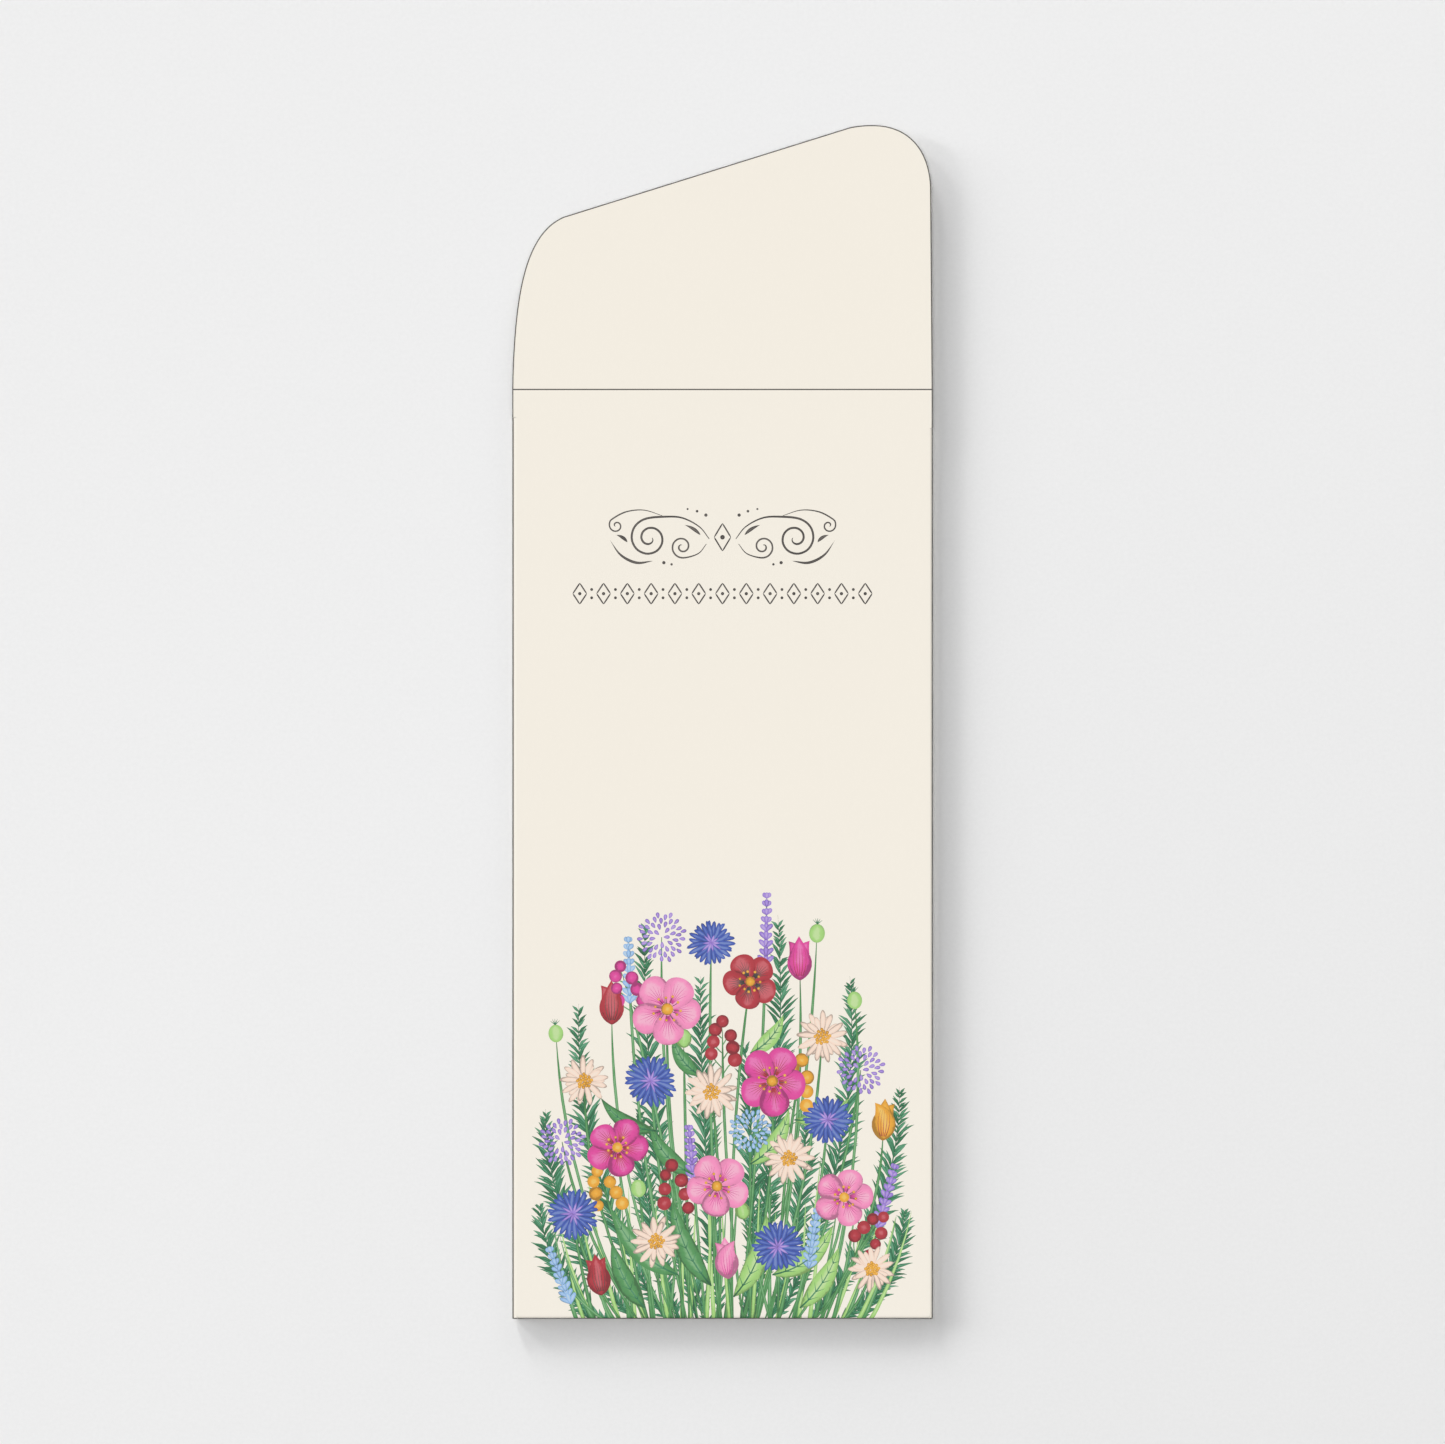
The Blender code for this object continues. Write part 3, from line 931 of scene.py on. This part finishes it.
# Plants of the printed border, by kind: ink, foot x, head x, head y, size and bow of the stem
PLANT_ROWS = {
    "blossom": (
        ("pink", -3, -10, 56, 6.4, 2),
        ("magenta", 3, 9, 43, 6.2, -2),
        ("magenta", -9, -19, 31, 5.5, 2),
        ("pink", 0, -1, 24, 5.8, 1),
        ("pink", 12, 22, 22, 5.3, -2),
        ("red", 2, 5, 61, 5.2, 1.5),
    ),
    "daisy": (
        ("peach", -1, -2, 41, 4.9, -1),
        ("peach", 7, 18, 51, 4.7, -2),
        ("peach", -13, -25, 43, 4.5, 3),
        ("peach", 8, 12, 29, 4.6, -1),
        ("peach", -10, -12, 14, 4.6, 0.5),
        ("peach", 20, 27, 9, 4.2, -1),
    ),
    "cornflower": (
        ("blue", -6, -13, 43, 4.6, 1),
        ("blue", 12, 19, 36, 4.4, -1),
        ("blue", -17, -27, 19, 4.5, 1.5),
        ("blue", 6, 10, 13, 4.6, 0.5),
        ("blue", 0, -2, 68, 4.2, 1),
    ),
    "tulip": (
        ("red", -8, -20, 54, 8.0, 3),
        ("magenta", 8, 14, 62, 8.0, -2),
        ("gold", 16, 29, 33, 7.6, -3),
        ("red", -19, -22, 5, 7.6, 0.5),
        ("pink", 2, 1, 8, 7.6, 0),
    ),
    "globe": (
        ("violet", -4, -11, 69, 4.3, 2),
        ("violet", 11, 25, 45, 4.2, -2),
        ("violet", -14, -29, 32, 4.0, 2),
        ("sky", 5, 5, 34, 3.6, 0),
    ),
    "spike": (
        ("violet", 3, 8, 76, 12, -1),
        ("sky", -8, -17, 68, 11, 2),
        ("violet", 15, 31, 27, 11, -2),
        ("sky", -18, -31, 12, 10, 2),
        ("violet", -3, -6, 34, 10, 0),
        ("sky", 12, 17, 19, 10, -0.5),
    ),
    "berries": (
        ("red", -10, -9, 26, 9, -1),
        ("gold", 10, 14, 45, 9, 1),
        ("red", 18, 28, 17, 8, 1),
        ("gold", -16, -22, 25, 8, -1),
        ("magenta", -5, -18, 62, 8, -1),
        ("red", 4, 0, 52, 8, 1),
    ),
    "pod": (
        ("pod", -6, -7, 49, 3.4, 0),
        ("pod", 6, 17, 68, 3.4, -2),
        ("pod", -12, -15, 22, 3.2, 0),
        ("pod", 9, 4, 18, 3.2, 0),
        ("pod", 17, 24, 56, 3.2, -3),
        ("pod", -15, -30, 50, 3.2, 3),
    ),
}
# Fern fronds: foot x, tip x, tip y, bow, pairs of leaflets and reach of the longest
FRONDS = (
    (-4, -14, 72, 3, 75, 5.6),
    (3, 10, 73, -3, 75, 5.6),
    (-9, -26, 57, 5, 70, 5.6),
    (9, 23, 62, -5, 71, 5.6),
    (-14, -32, 38, 5, 57, 5.2),
    (14, 32, 42, -5, 59, 5.2),
    (-18, -33, 21, 4, 42, 4.8),
    (18, 33, 20, -4, 42, 4.8),
    (0, -4, 62, 1, 67, 6.0),
    (5, 4, 50, -1, 59, 5.6),
    (-7, -15, 38, 2, 46, 5.2),
    (8, 15, 37, -2, 46, 5.2),
    (-22, -28, 9, 1, 20, 4.0),
    (23, 30, 10, -1, 20, 4.0),
    (-2, -8, 22, 1, 29, 4.8),
    (4, 9, 24, -1, 29, 4.8),
)
# Broad leaves: ink, foot, tip, bow and half width
LEAVES = (
    ("leaf", (-2, 6), (-9, 22), 1.5, 1.9),
    ("pod", (2, 4), (8, 19), -1.5, 1.9),
    ("leaf", (-8, 8), (-20, 20), 2, 1.8),
    ("pod", (9, 8), (20, 17), -2, 1.8),
    ("leaf", (-5, 26), (-13, 35), 1.5, 1.6),
    ("pod", (5, 28), (12, 38), -1.5, 1.6),
    ("leaf", (-14, 2), (-20, 14), 1, 1.8),
    ("pod", (14, 2), (21, 13), -1, 1.8),
    ("leaf", (-4, 44), (-9, 51), 1, 1.4),
    ("pod", (5, 48), (11, 55), -1, 1.4),
    ("leaf", (-12, 34), (-22, 40), 1.5, 1.4),
    ("pod", (13, 36), (23, 40), -1.5, 1.4),
)
GRASS_BLADES = 44
TWIGS = 7
GLOBE_FLORETS = 46
HEART_FLORETS = 22
WHORLS = 9
STAMENS = 11
# Height at which stems, fronds and grass start, under the panel's bottom edge
ROOT_Y = -2
# The darker ink that streaks the petals of each ink
STREAK_INKS = {"pink": "magenta", "magenta": "red", "red": "line", "gold": "red"}


class Plant:
    """Flower, spike, twig or pod of the border, on its stem"""

    def __init__(self, ink, foot, x, y, size, bow):
        self.ink = ink
        self.size = size
        self.head = Vector((x, y))
        self.stem = arc(Vector((foot, ROOT_Y)), self.head, bow)
        # Angle in degrees at which the stem meets the head
        ahead = self.stem(1) - self.stem(0.95)
        self.lean = Vector((1, 0)).angle_signed(ahead.normalized()) * -180 / pi
        # Angles in degrees of a blossom's five petals
        self.petals = [23 * x + 72 * petal for petal in range(5)]

    def out(self, angle, length):
        """Place at that angle and distance from the head."""
        return self.head + polar(angle, length)


PLANTS = {kind: [Plant(*row) for row in rows] for kind, rows in PLANT_ROWS.items()}


def draw_frond(sheet, frond):
    """Fern frond: slender leaflets of uneven length and tone on a bowed spine, longest below the middle."""
    foot, tip_x, tip_y, bow, pairs, reach = frond
    spine = arc(Vector((foot, ROOT_Y)), Vector((tip_x, tip_y)), bow)
    sheet.stroke("frond_spine", "fern", spine)
    for pair in range(pairs):
        for side in (-1, 1):
            share = 0.04 + 0.94 * (pair + 0.5 + sheet.vary(0.4)) / pairs
            ahead = (spine(min(share + 0.02, 1)) - spine(share - 0.02)).normalized()
            length = reach * (0.25 + 0.75 * sin(pi * (1 - share) ** 0.75)) * (1 - 0.35 * share)
            lean = radians(side * (38 + sheet.vary(13)))
            reached = Matrix.Rotation(lean, 2) @ ahead * length * (1 + sheet.vary(0.26))
            start = spine(share)
            curve = arc(start, start + reached, -side * length * (0.07 + sheet.vary(0.05)))
            sheet.stroke("leaflet", "fern", curve, 0.22 + 0.025 * length, spread=0.42)


def draw_grass(sheet, blade):
    """Blade of grass, leaning out from the middle and shorter to the sides."""
    foot = -26 + 52 * blade / (GRASS_BLADES - 1) + sheet.vary(1)
    lean = foot * 0.25 + sheet.vary(3)
    height = 10 + 16 * cos(foot / 27 * pi / 2.4) + sheet.vary(6)
    curve = arc(Vector((foot, ROOT_Y)), Vector((foot + lean, height)), -lean * 0.12)
    sheet.stroke("grass_blade", ("leaf", "pod")[blade % 2], curve)


def draw_stem(sheet, plant):
    sheet.stroke("stem", "leaf", plant.stem)


def berry_places(plant):
    """Twig starts and berry centres along the end of a stem."""
    places = []
    for twig in range(TWIGS):
        start = plant.head - polar(plant.lean, plant.size * (1 - twig / (TWIGS - 1)))
        side = 0 if twig == TWIGS - 1 else (38 if twig % 2 else -38)
        places.append((start, start + polar(plant.lean + side, 3.6 - 0.3 * twig)))
    return places


def draw_twigs(sheet, plant):
    for start, end in berry_places(plant):
        sheet.stroke("twig", "leaf", arc(start, end, 0.2))


def draw_berries(sheet, plant):
    for _, centre in berry_places(plant):
        sheet.dot(plant.ink, centre, 1.15 + sheet.vary(0.15), 11)


def leaf_curve(leaf):
    """Curve of a broad leaf's midrib."""
    _, foot, tip, bow, _ = leaf
    return arc(Vector(foot), Vector(tip), bow)


def draw_leaf(sheet, leaf):
    sheet.stroke("broad_leaf", leaf[0], leaf_curve(leaf), leaf[-1])


def draw_veins(sheet, leaf):
    """Midrib of a broad leaf, and five pairs of veins that shorten to its tip."""
    curve = leaf_curve(leaf)
    sheet.stroke("midrib", "fern", curve)
    ahead = (curve(1) - curve(0)).normalized()
    for vein in range(1, 6):
        start = curve(vein / 6.5)
        for side in (-1, 1):
            out = Matrix.Rotation(radians(side * 40), 2) @ ahead * leaf[-1] * (1.15 - 0.1 * vein)
            sheet.stroke("vein", "fern", arc(start, start + out, 0))


def draw_pod(sheet, plant):
    """Seed pod on the end of its stem."""
    curve = arc(plant.head, plant.out(plant.lean, plant.size), 0)
    sheet.stroke("pod", "pod", curve, plant.size)


def draw_pod_crown(sheet, plant):
    """Five short points on the end of a pod."""
    tip = plant.out(plant.lean, plant.size)
    for side in (-50, -25, 0, 25, 50):
        sheet.stroke("pod_crown", "fern", arc(tip, tip + polar(plant.lean + side, 1.1), 0))


def draw_blossom(sheet, plant):
    """Five broad petals."""
    for angle in plant.petals:
        tip = plant.out(angle, plant.size * (1 + sheet.vary(0.05)))
        sheet.stroke("blossom_petal", plant.ink, arc(plant.head, tip, sheet.vary(0.3)), plant.size)


def draw_blossom_streaks(sheet, plant):
    """Fine darker streaks that fan out along each broad petal."""
    for angle in plant.petals:
        for spread in (-24, -16, -8, 0, 8, 16, 24):
            start = plant.out(angle + spread * 0.5, plant.size * 0.2)
            reach = plant.size * (0.8 - 0.006 * abs(spread) + sheet.vary(0.06))
            curve = arc(start, plant.out(angle + spread, reach), -spread * 0.008)
            sheet.stroke("blossom_streak", STREAK_INKS[plant.ink], curve)


def draw_tulip_streaks(sheet, plant):
    """Fine darker streaks up the cup of a tulip."""
    for side in (-2, -1, 0, 1, 2):
        start = plant.out(plant.lean + 90, side * plant.size * 0.03)
        end = plant.out(plant.lean, plant.size * 0.62)
        end += polar(plant.lean + 90, side * plant.size * (0.05 + sheet.vary(0.01)))
        curve = arc(start, end, side * plant.size * 0.03)
        sheet.stroke("tulip_streak", STREAK_INKS[plant.ink], curve)


def draw_daisy(sheet, plant):
    """Two rings of slender petals."""
    for count, share in ((13, 1), (11, 0.8)):
        turn = sheet.vary(15)
        for petal in range(count):
            angle = turn + 360 * petal / count + sheet.vary(4)
            tip = plant.out(angle, plant.size * share * (1 + sheet.vary(0.06)))
            sheet.stroke("daisy_petal", plant.ink, arc(plant.head, tip, sheet.vary(0.2)), plant.size)


def draw_cornflower(sheet, plant):
    """Nine fans of three florets."""
    for fan in range(9):
        angle = 40 * fan + sheet.vary(6)
        for spread in (-13, 0, 13):
            tip = plant.out(angle + spread, plant.size * (1 + sheet.vary(0.1)))
            sheet.stroke("cornflower_floret", plant.ink, arc(plant.head, tip, spread / 40), plant.size)


def draw_tulip(sheet, plant):
    """Cup of three pointed petals on the end of its stem."""
    for turn, share, width in ((-15, 0.92, 0.26), (15, 0.92, 0.26), (0, 1, 0.24)):
        start = plant.head - polar(plant.lean, plant.size * 0.1)
        end = start + polar(plant.lean - turn, plant.size * share)
        sheet.stroke("tulip_petal", plant.ink, arc(start, end, turn / 15), plant.size * width)


def draw_globe(sheet, plant):
    """Ball of tiny florets, packed in a spiral."""
    for floret in range(GLOBE_FLORETS):
        angle = SPIRAL * floret
        out = plant.size * sqrt((floret + 0.5) / GLOBE_FLORETS)
        centre = plant.out(angle, out * 0.86)
        sheet.stroke("globe_floret", plant.ink, arc(centre, centre + polar(angle, 1.1), sheet.vary(0.1)))


def draw_spike(sheet, plant):
    """Whorls of small buds up the end of a stem."""
    for whorl in range(WHORLS):
        share = whorl / (WHORLS - 1)
        start = plant.head - polar(plant.lean, plant.size * (1 - share))
        for side in (-1, 1, 0):
            length = 2.1 * (1 - 0.45 * share) * (1 + sheet.vary(0.1))
            curve = arc(start, start + polar(plant.lean + side * 42, length), -side * 0.15)
            sheet.stroke("spike_bud", plant.ink, curve)


def draw_stamens(sheet, plant):
    """Heart of a blossom: stamens with round tips about a gold middle."""
    for stamen in range(STAMENS):
        angle = 360 * stamen / STAMENS + sheet.vary(8)
        start = plant.out(angle, plant.size * 0.15)
        end = plant.out(angle, plant.size * (0.36 + sheet.vary(0.05)))
        sheet.stroke("stamen", "line", arc(start, end, sheet.vary(0.1)))
        sheet.dot("gold", end, 0.25)
    sheet.dot("gold", plant.head, plant.size * 0.17, 12)


def draw_daisy_heart(sheet, plant):
    """Packed gold florets."""
    for floret in range(HEART_FLORETS):
        out = plant.size * 0.3 * sqrt((floret + 0.5) / HEART_FLORETS)
        sheet.dot("gold", plant.out(SPIRAL * floret, out), 0.3)


def draw_tuft(sheet, plant):
    """Violet tuft of a cornflower."""
    for tuft in range(10):
        angle = 36 * tuft + sheet.vary(8)
        tip = plant.out(angle, plant.size * (0.45 + sheet.vary(0.1)))
        sheet.stroke("cornflower_tuft", "violet", arc(plant.head, tip, 0))


def paint(name, inks, level, seed, *parts):
    """One printed piece: for each way of drawing, the marks of its plants."""
    sheet = Sheet(inks, level, seed)
    for draw, plants in parts:
        for plant in plants:
            draw(sheet, plant)
    sheet.lay_on_card(name)


class HOLDER_OT_print_greenery(bpy.types.Operator):
    """Print the fern fronds, the grass, the stems and the broad leaves"""

    bl_idname = "money_holder.print_greenery"
    bl_label = "Greenery"

    def execute(self, context):
        stemmed = [plant for plants in PLANTS.values() for plant in plants]
        twigs = (draw_twigs, PLANTS["berries"])
        pods = (draw_pod, PLANTS["pod"])
        crowns = (draw_pod_crown, PLANTS["pod"])
        paint("fern_fronds", ("fern",), 0, 3, (draw_frond, FRONDS))
        paint("grass_blades", ("leaf", "pod"), 1, 5, (draw_grass, range(GRASS_BLADES)))
        paint("flower_stems", ("leaf",), 2, 7, (draw_stem, stemmed), twigs)
        paint("broad_leaves", ("leaf", "pod"), 3, 11, (draw_leaf, LEAVES), pods)
        paint("leaf_veins", ("fern",), 4, 13, (draw_veins, LEAVES), crowns)
        return {"FINISHED"}


class HOLDER_OT_print_flowers(bpy.types.Operator):
    """Print the blossoms, daisies, cornflowers, tulips, globes, spikes and berries"""

    bl_idname = "money_holder.print_flowers"
    bl_label = "Flowers"

    def execute(self, context):
        streaks = (draw_blossom_streaks, PLANTS["blossom"]), (draw_tulip_streaks, PLANTS["tulip"])
        hearts = (
            (draw_stamens, PLANTS["blossom"]),
            (draw_daisy_heart, PLANTS["daisy"]),
            (draw_tuft, PLANTS["cornflower"]),
        )
        paint("spikes", ("violet", "sky"), 4, 17, (draw_spike, PLANTS["spike"]))
        paint("globes", ("violet", "sky"), 5, 19, (draw_globe, PLANTS["globe"]))
        paint("tulips", ("red", "magenta", "gold", "pink"), 5, 23, (draw_tulip, PLANTS["tulip"]))
        paint("cornflowers", ("blue",), 6, 29, (draw_cornflower, PLANTS["cornflower"]))
        paint("daisies", ("peach",), 6, 31, (draw_daisy, PLANTS["daisy"]))
        paint("blossoms", ("pink", "magenta", "red"), 6, 37, (draw_blossom, PLANTS["blossom"]))
        paint("petal_streaks", ("magenta", "red", "line"), 7, 39, *streaks)
        paint("berries", ("red", "gold", "magenta"), 5, 41, (draw_berries, PLANTS["berries"]))
        paint("flower_hearts", ("gold", "line", "violet"), 8, 43, *hearts)
        return {"FINISHED"}


# Ornaments: the places and sizes are in millimetres
SCROLLS_MIDDLE = Vector((0, 141.3))
# Pen strokes right of the middle: stroke, points it runs through, and the curl that it ends in
SCROLLS = (
    ("main_scroll", ((2.4, -0.3), (4.2, 1.9), (7.3, 3.5), (10.6, 3.7)), ((13.2, -0.2), 3.6, 78, -1.75, 16)),
    ("under_scroll", ((2.9, -1.2), (4.3, -2.9)), ((7.3, -1.7), 2.1, -110, 1.55, 13)),
    ("tail_scroll", ((10.9, 3.9), (14.2, 4.9), (17.4, 4.6)), ((19.2, 2.1), 1.4, 60, -1.3, 11)),
    ("foot_leaf", ((12.6, -4.3), (15.6, -4.6), (18.4, -3.2), (20.3, -0.6)), None),
)
SMALL_LEAVES = (((4.0, 0.4), (6.8, 2.2)), ((17.2, -0.9), (19.2, 0.4)))
# Dots right of the middle: x, y and radius
PEN_DOTS = ((3.0, 4.0, 0.3), (4.6, 4.7, 0.24), (6.3, 5.1, 0.18), (10.6, -4.6, 0.3), (9.2, -4.9, 0.22))

ROW_Y = 131.1
ROW_COUNT = 13
ROW_PITCH = 4.3
# Half width and half height of the lozenges, and the radius of the dot in each
MIDDLE_LOZENGE = (1.5, 2.5, 0.42)
ROW_LOZENGE = (1.25, 1.9, 0.3)
# The two dots between neighbours in the row: distance from its middle line, and radius
ROW_DOT_OFF = 0.75
ROW_DOT = 0.26


def draw_lozenge(sheet, centre, lozenge):
    """Outline of a lozenge in four strokes, and the dot in its middle."""
    half_width, half_height, dot = lozenge
    steps = ((half_width, 0), (0, half_height), (-half_width, 0), (0, -half_height))
    corners = [Vector(step) for step in steps]
    for index, corner in enumerate(corners):
        sheet.stroke("lozenge_side", "line", arc(centre + corner, centre + corners[index - 1], 0))
    sheet.dot("line", centre, dot)


def draw_scrolls(sheet, middle):
    """Mirrored pen scrolls either side of a lozenge."""
    draw_lozenge(sheet, middle, MIDDLE_LOZENGE)
    for side in (1, -1):
        def mirrored(points):
            return [middle + Vector((point[0] * side, point[1])) for point in points]

        for kind, points, ending in SCROLLS:
            points = [*points, *curl(*ending)] if ending else points
            sheet.stroke(kind, "line", through(mirrored(points)))
        for ends in SMALL_LEAVES:
            sheet.stroke("small_leaf", "line", arc(*mirrored(ends), 0.25 * side))
        for x, y, radius in PEN_DOTS:
            sheet.dot("line", mirrored([(x, y)])[0], radius)


def draw_row_member(sheet, index):
    """One lozenge of the row, and the dots between it and the last one."""
    x = (index - (ROW_COUNT - 1) / 2) * ROW_PITCH
    draw_lozenge(sheet, Vector((x, ROW_Y)), ROW_LOZENGE)
    if index:
        for off in (-ROW_DOT_OFF, ROW_DOT_OFF):
            sheet.dot("line", Vector((x - ROW_PITCH / 2, ROW_Y + off)), ROW_DOT)


class HOLDER_OT_print_ornaments(bpy.types.Operator):
    """Print the pen scrolls and the row of lozenges under them"""

    bl_idname = "money_holder.print_ornaments"
    bl_label = "Ornaments"

    def execute(self, context):
        paint("pen_scrolls", ("line",), 1, 47, (draw_scrolls, [SCROLLS_MIDDLE]))
        paint("lozenge_row", ("line",), 1, 53, (draw_row_member, range(ROW_COUNT)))
        return {"FINISHED"}


# Stage

# Widths of the photograph and of the holder in it, in the photograph's pixels
PHOTO_WIDTH_PX = 1445
HOLDER_WIDTH_PX = 420.45
GROUND_SIZE = 6.0
# The ground is painted darker from the lamps' corner to the other as painted shade, in painted bands of
# light and shade that run along a slant
SHADE_FROM, SHADE_TO = -0.06, 0.26
SHADE_BAND_SLANT = radians(-62)
SHADE_BAND_SCALE = (9, 1.2, 1)
# Low lamps: angle in degrees round from the left, and share of their light
LOW_LAMPS = (
    ("left_lamp", 15, 0.30),
    ("corner_lamp", 42, 0.29),
    ("far_lamp", 68, 0.31),
    ("right_lamp", 112, 0.10),
)
# Angle round from the left of the holder's lamp and the high lamp, and the height of each
CORNER_TURN = radians(45)
HOLDER_LAMP_HEIGHT = radians(55)
HIGH_LAMP_HEIGHT = radians(88)
# How wide each lamp looks from the holder
LOW_LAMP_WIDTH = radians(15)
HIGH_LAMP_WIDTH = radians(40)


def lay_ground(settings):
    """Pale matt ground with a fine grain, and painted shade that darkens it away from the lamps' corner."""
    bm = bmesh.new()
    bmesh.ops.create_grid(bm, x_segments=1, y_segments=1, size=GROUND_SIZE / 2)
    bmesh.ops.translate(bm, verts=bm.verts, vec=(0, 0, -WELD))
    finish = Finish("ground", 0.95)
    slanted = {"Vector": finish.place, "Rotation": (0, 0, SHADE_BAND_SLANT), "Scale": SHADE_BAND_SCALE}
    painted_shade_bands = finish.noise(finish.add("Mapping", slanted).outputs[0], 1, detail=1)
    parts = finish.add("SeparateXYZ", {"Vector": finish.place}).outputs
    # Painted shade: the ground's colour darkens from the lamps' corner across to the other, and painted
    # bands of light and shade lie over it
    away = finish.add("Math", {0: parts["X"], 1: parts["Y"]}, operation="SUBTRACT").outputs[0]
    away = finish.add("MapRange", {"Value": away, "From Min": SHADE_FROM, "From Max": SHADE_TO}).outputs[0]
    away = finish.added(away, finish.between(painted_shade_bands, -0.35, 0.35))
    # Mixes the ground's colour towards its colour in painted shade
    tone = finish.mixed(away, scaled(settings.ground, 1), scaled(settings.painted_shade_ground, 1))
    grain = finish.noise(finish.place, GROUND_GRAIN, detail=3, roughness=0.6)
    speckle = finish.mixed(grain, scaled(WHITE, 0.965), scaled(WHITE, 1.035))
    finish.give("Base Color", finish.mixed(1.0, tone, speckle, "MULTIPLY"))
    finish.give("Specular IOR Level", 0.0)
    ground = make_mesh_object("ground", bm, [finish.material])
    return ground


def set_camera(settings):
    """Camera straight above the holder, far enough to show the whole photograph's frame."""
    data = bpy.data.cameras.new("camera")
    data.lens = settings.lens
    shown = (RIGHT_X - LEFT_X) * PHOTO_WIDTH_PX / HOLDER_WIDTH_PX
    camera = bpy.data.objects.new("camera", data)
    camera.location = (0, 0, PRINTED_Z + shown * data.lens / data.sensor_width)
    bpy.context.scene.collection.objects.link(camera)
    bpy.context.scene.camera = camera


def add_sun(name, turn, height, share, width):
    """Soft lamp at a height, turned round from the left, that gives level ground that share of its light."""
    data = bpy.data.lights.new(name, "SUN")
    data.energy = share * pi / sin(height)
    data.angle = width
    data.cycles.max_bounces = 0
    lamp = bpy.data.objects.new(name, data)
    towards = Vector((-cos(turn) * cos(height), sin(turn) * cos(height), sin(height)))
    lamp.rotation_euler = towards.to_track_quat("Z", "Y").to_euler()
    bpy.context.scene.collection.objects.link(lamp)
    return lamp


def light_only(lamp, name, ground, state):
    """Limits a lamp to the ground alone, or to everything but the ground."""
    lit = bpy.data.collections.new(name)
    lit.objects.link(ground)
    lamp.light_linking.receiver_collection = lit
    lit.collection_objects[0].light_linking.link_state = state


def set_lamps(settings, ground):
    """Low lamps that draw the soft shadow, one for the holder, one overhead, and light all round."""
    for name, turn, part in LOW_LAMPS:
        lamp = add_sun(name, radians(turn), settings.low_height, settings.low_share * part, LOW_LAMP_WIDTH)
        light_only(lamp, "lit_by_" + name, ground, "INCLUDE")
    key = add_sun("holder_lamp", CORNER_TURN, HOLDER_LAMP_HEIGHT, settings.low_share, HIGH_LAMP_WIDTH)
    light_only(key, "unlit_by_holder_lamp", ground, "EXCLUDE")
    high_share = 1 - settings.low_share - settings.surround_share
    add_sun("high_lamp", CORNER_TURN, HIGH_LAMP_HEIGHT, high_share, HIGH_LAMP_WIDTH)

    world = bpy.data.worlds.new("surround")
    nodes = NodeTree(world)
    nodes.tree.nodes.clear()
    light = nodes.add("Background", {"Color": scaled(WHITE, 1), "Strength": settings.surround_share})
    # The backdrop shown past the ground takes the colour of the ground in painted shade
    shown = nodes.add("Background", {"Color": scaled(settings.painted_shade_ground, 1), "Strength": 1.0})
    path = nodes.add("LightPath").outputs
    seen = nodes.added(path["Is Camera Ray"], path["Is Glossy Ray"])
    seen = nodes.added(seen, path["Is Transmission Ray"])
    both = nodes.add("MixShader", {0: seen, 1: light.outputs[0], 2: shown.outputs[0]})
    nodes.add("OutputWorld", {"Surface": both.outputs[0]})
    bpy.context.scene.world = world


class HOLDER_OT_set_stage(bpy.types.Operator):
    """Lay the ground and set the camera and the lamps"""

    bl_idname = "money_holder.set_stage"
    bl_label = "Stage"

    def execute(self, context):
        settings = context.scene.holder_stage
        ground = lay_ground(settings)
        set_camera(settings)
        set_lamps(settings, ground)
        context.scene.view_settings.view_transform = "Standard"
        return {"FINISHED"}


class HOLDER_PT_looks(bpy.types.Panel):
    """Steps that dress the money holder"""

    bl_label = "Money holder"
    bl_idname = "HOLDER_PT_looks"
    bl_space_type = "VIEW_3D"
    bl_region_type = "UI"
    bl_category = "Money holder"

    def draw(self, context):
        for group, _ in SETTINGS:
            settings = getattr(context.scene, group)
            box = self.layout.box()
            for name in settings.__annotations__:
                box.prop(settings, name)
        for operator in OPERATORS:
            self.layout.operator(operator.bl_idname)


OPERATORS = (
    HOLDER_OT_fold_card,
    HOLDER_OT_finish_films,
    HOLDER_OT_print_greenery,
    HOLDER_OT_print_flowers,
    HOLDER_OT_print_ornaments,
    HOLDER_OT_set_stage,
)
SETTINGS = (("holder_card", CardSettings), ("holder_ink", InkSettings), ("holder_stage", StageSettings))


def register():
    for name, group in SETTINGS:
        bpy.utils.register_class(group)
        setattr(bpy.types.Scene, name, PointerProperty(type=group))
    for made in (*OPERATORS, HOLDER_PT_looks):
        bpy.utils.register_class(made)


def unregister():
    for made in (HOLDER_PT_looks, *reversed(OPERATORS)):
        bpy.utils.unregister_class(made)
    for name, group in reversed(SETTINGS):
        delattr(bpy.types.Scene, name)
        bpy.utils.unregister_class(group)


def main():
    """Dresses the holder."""
    register()
    bpy.ops.money_holder.set_stage()
    bpy.ops.money_holder.fold_card()
    bpy.ops.money_holder.finish_films()
    bpy.ops.money_holder.print_greenery()
    bpy.ops.money_holder.print_flowers()
    bpy.ops.money_holder.print_ornaments()


if __name__ == "__main__":
    main()
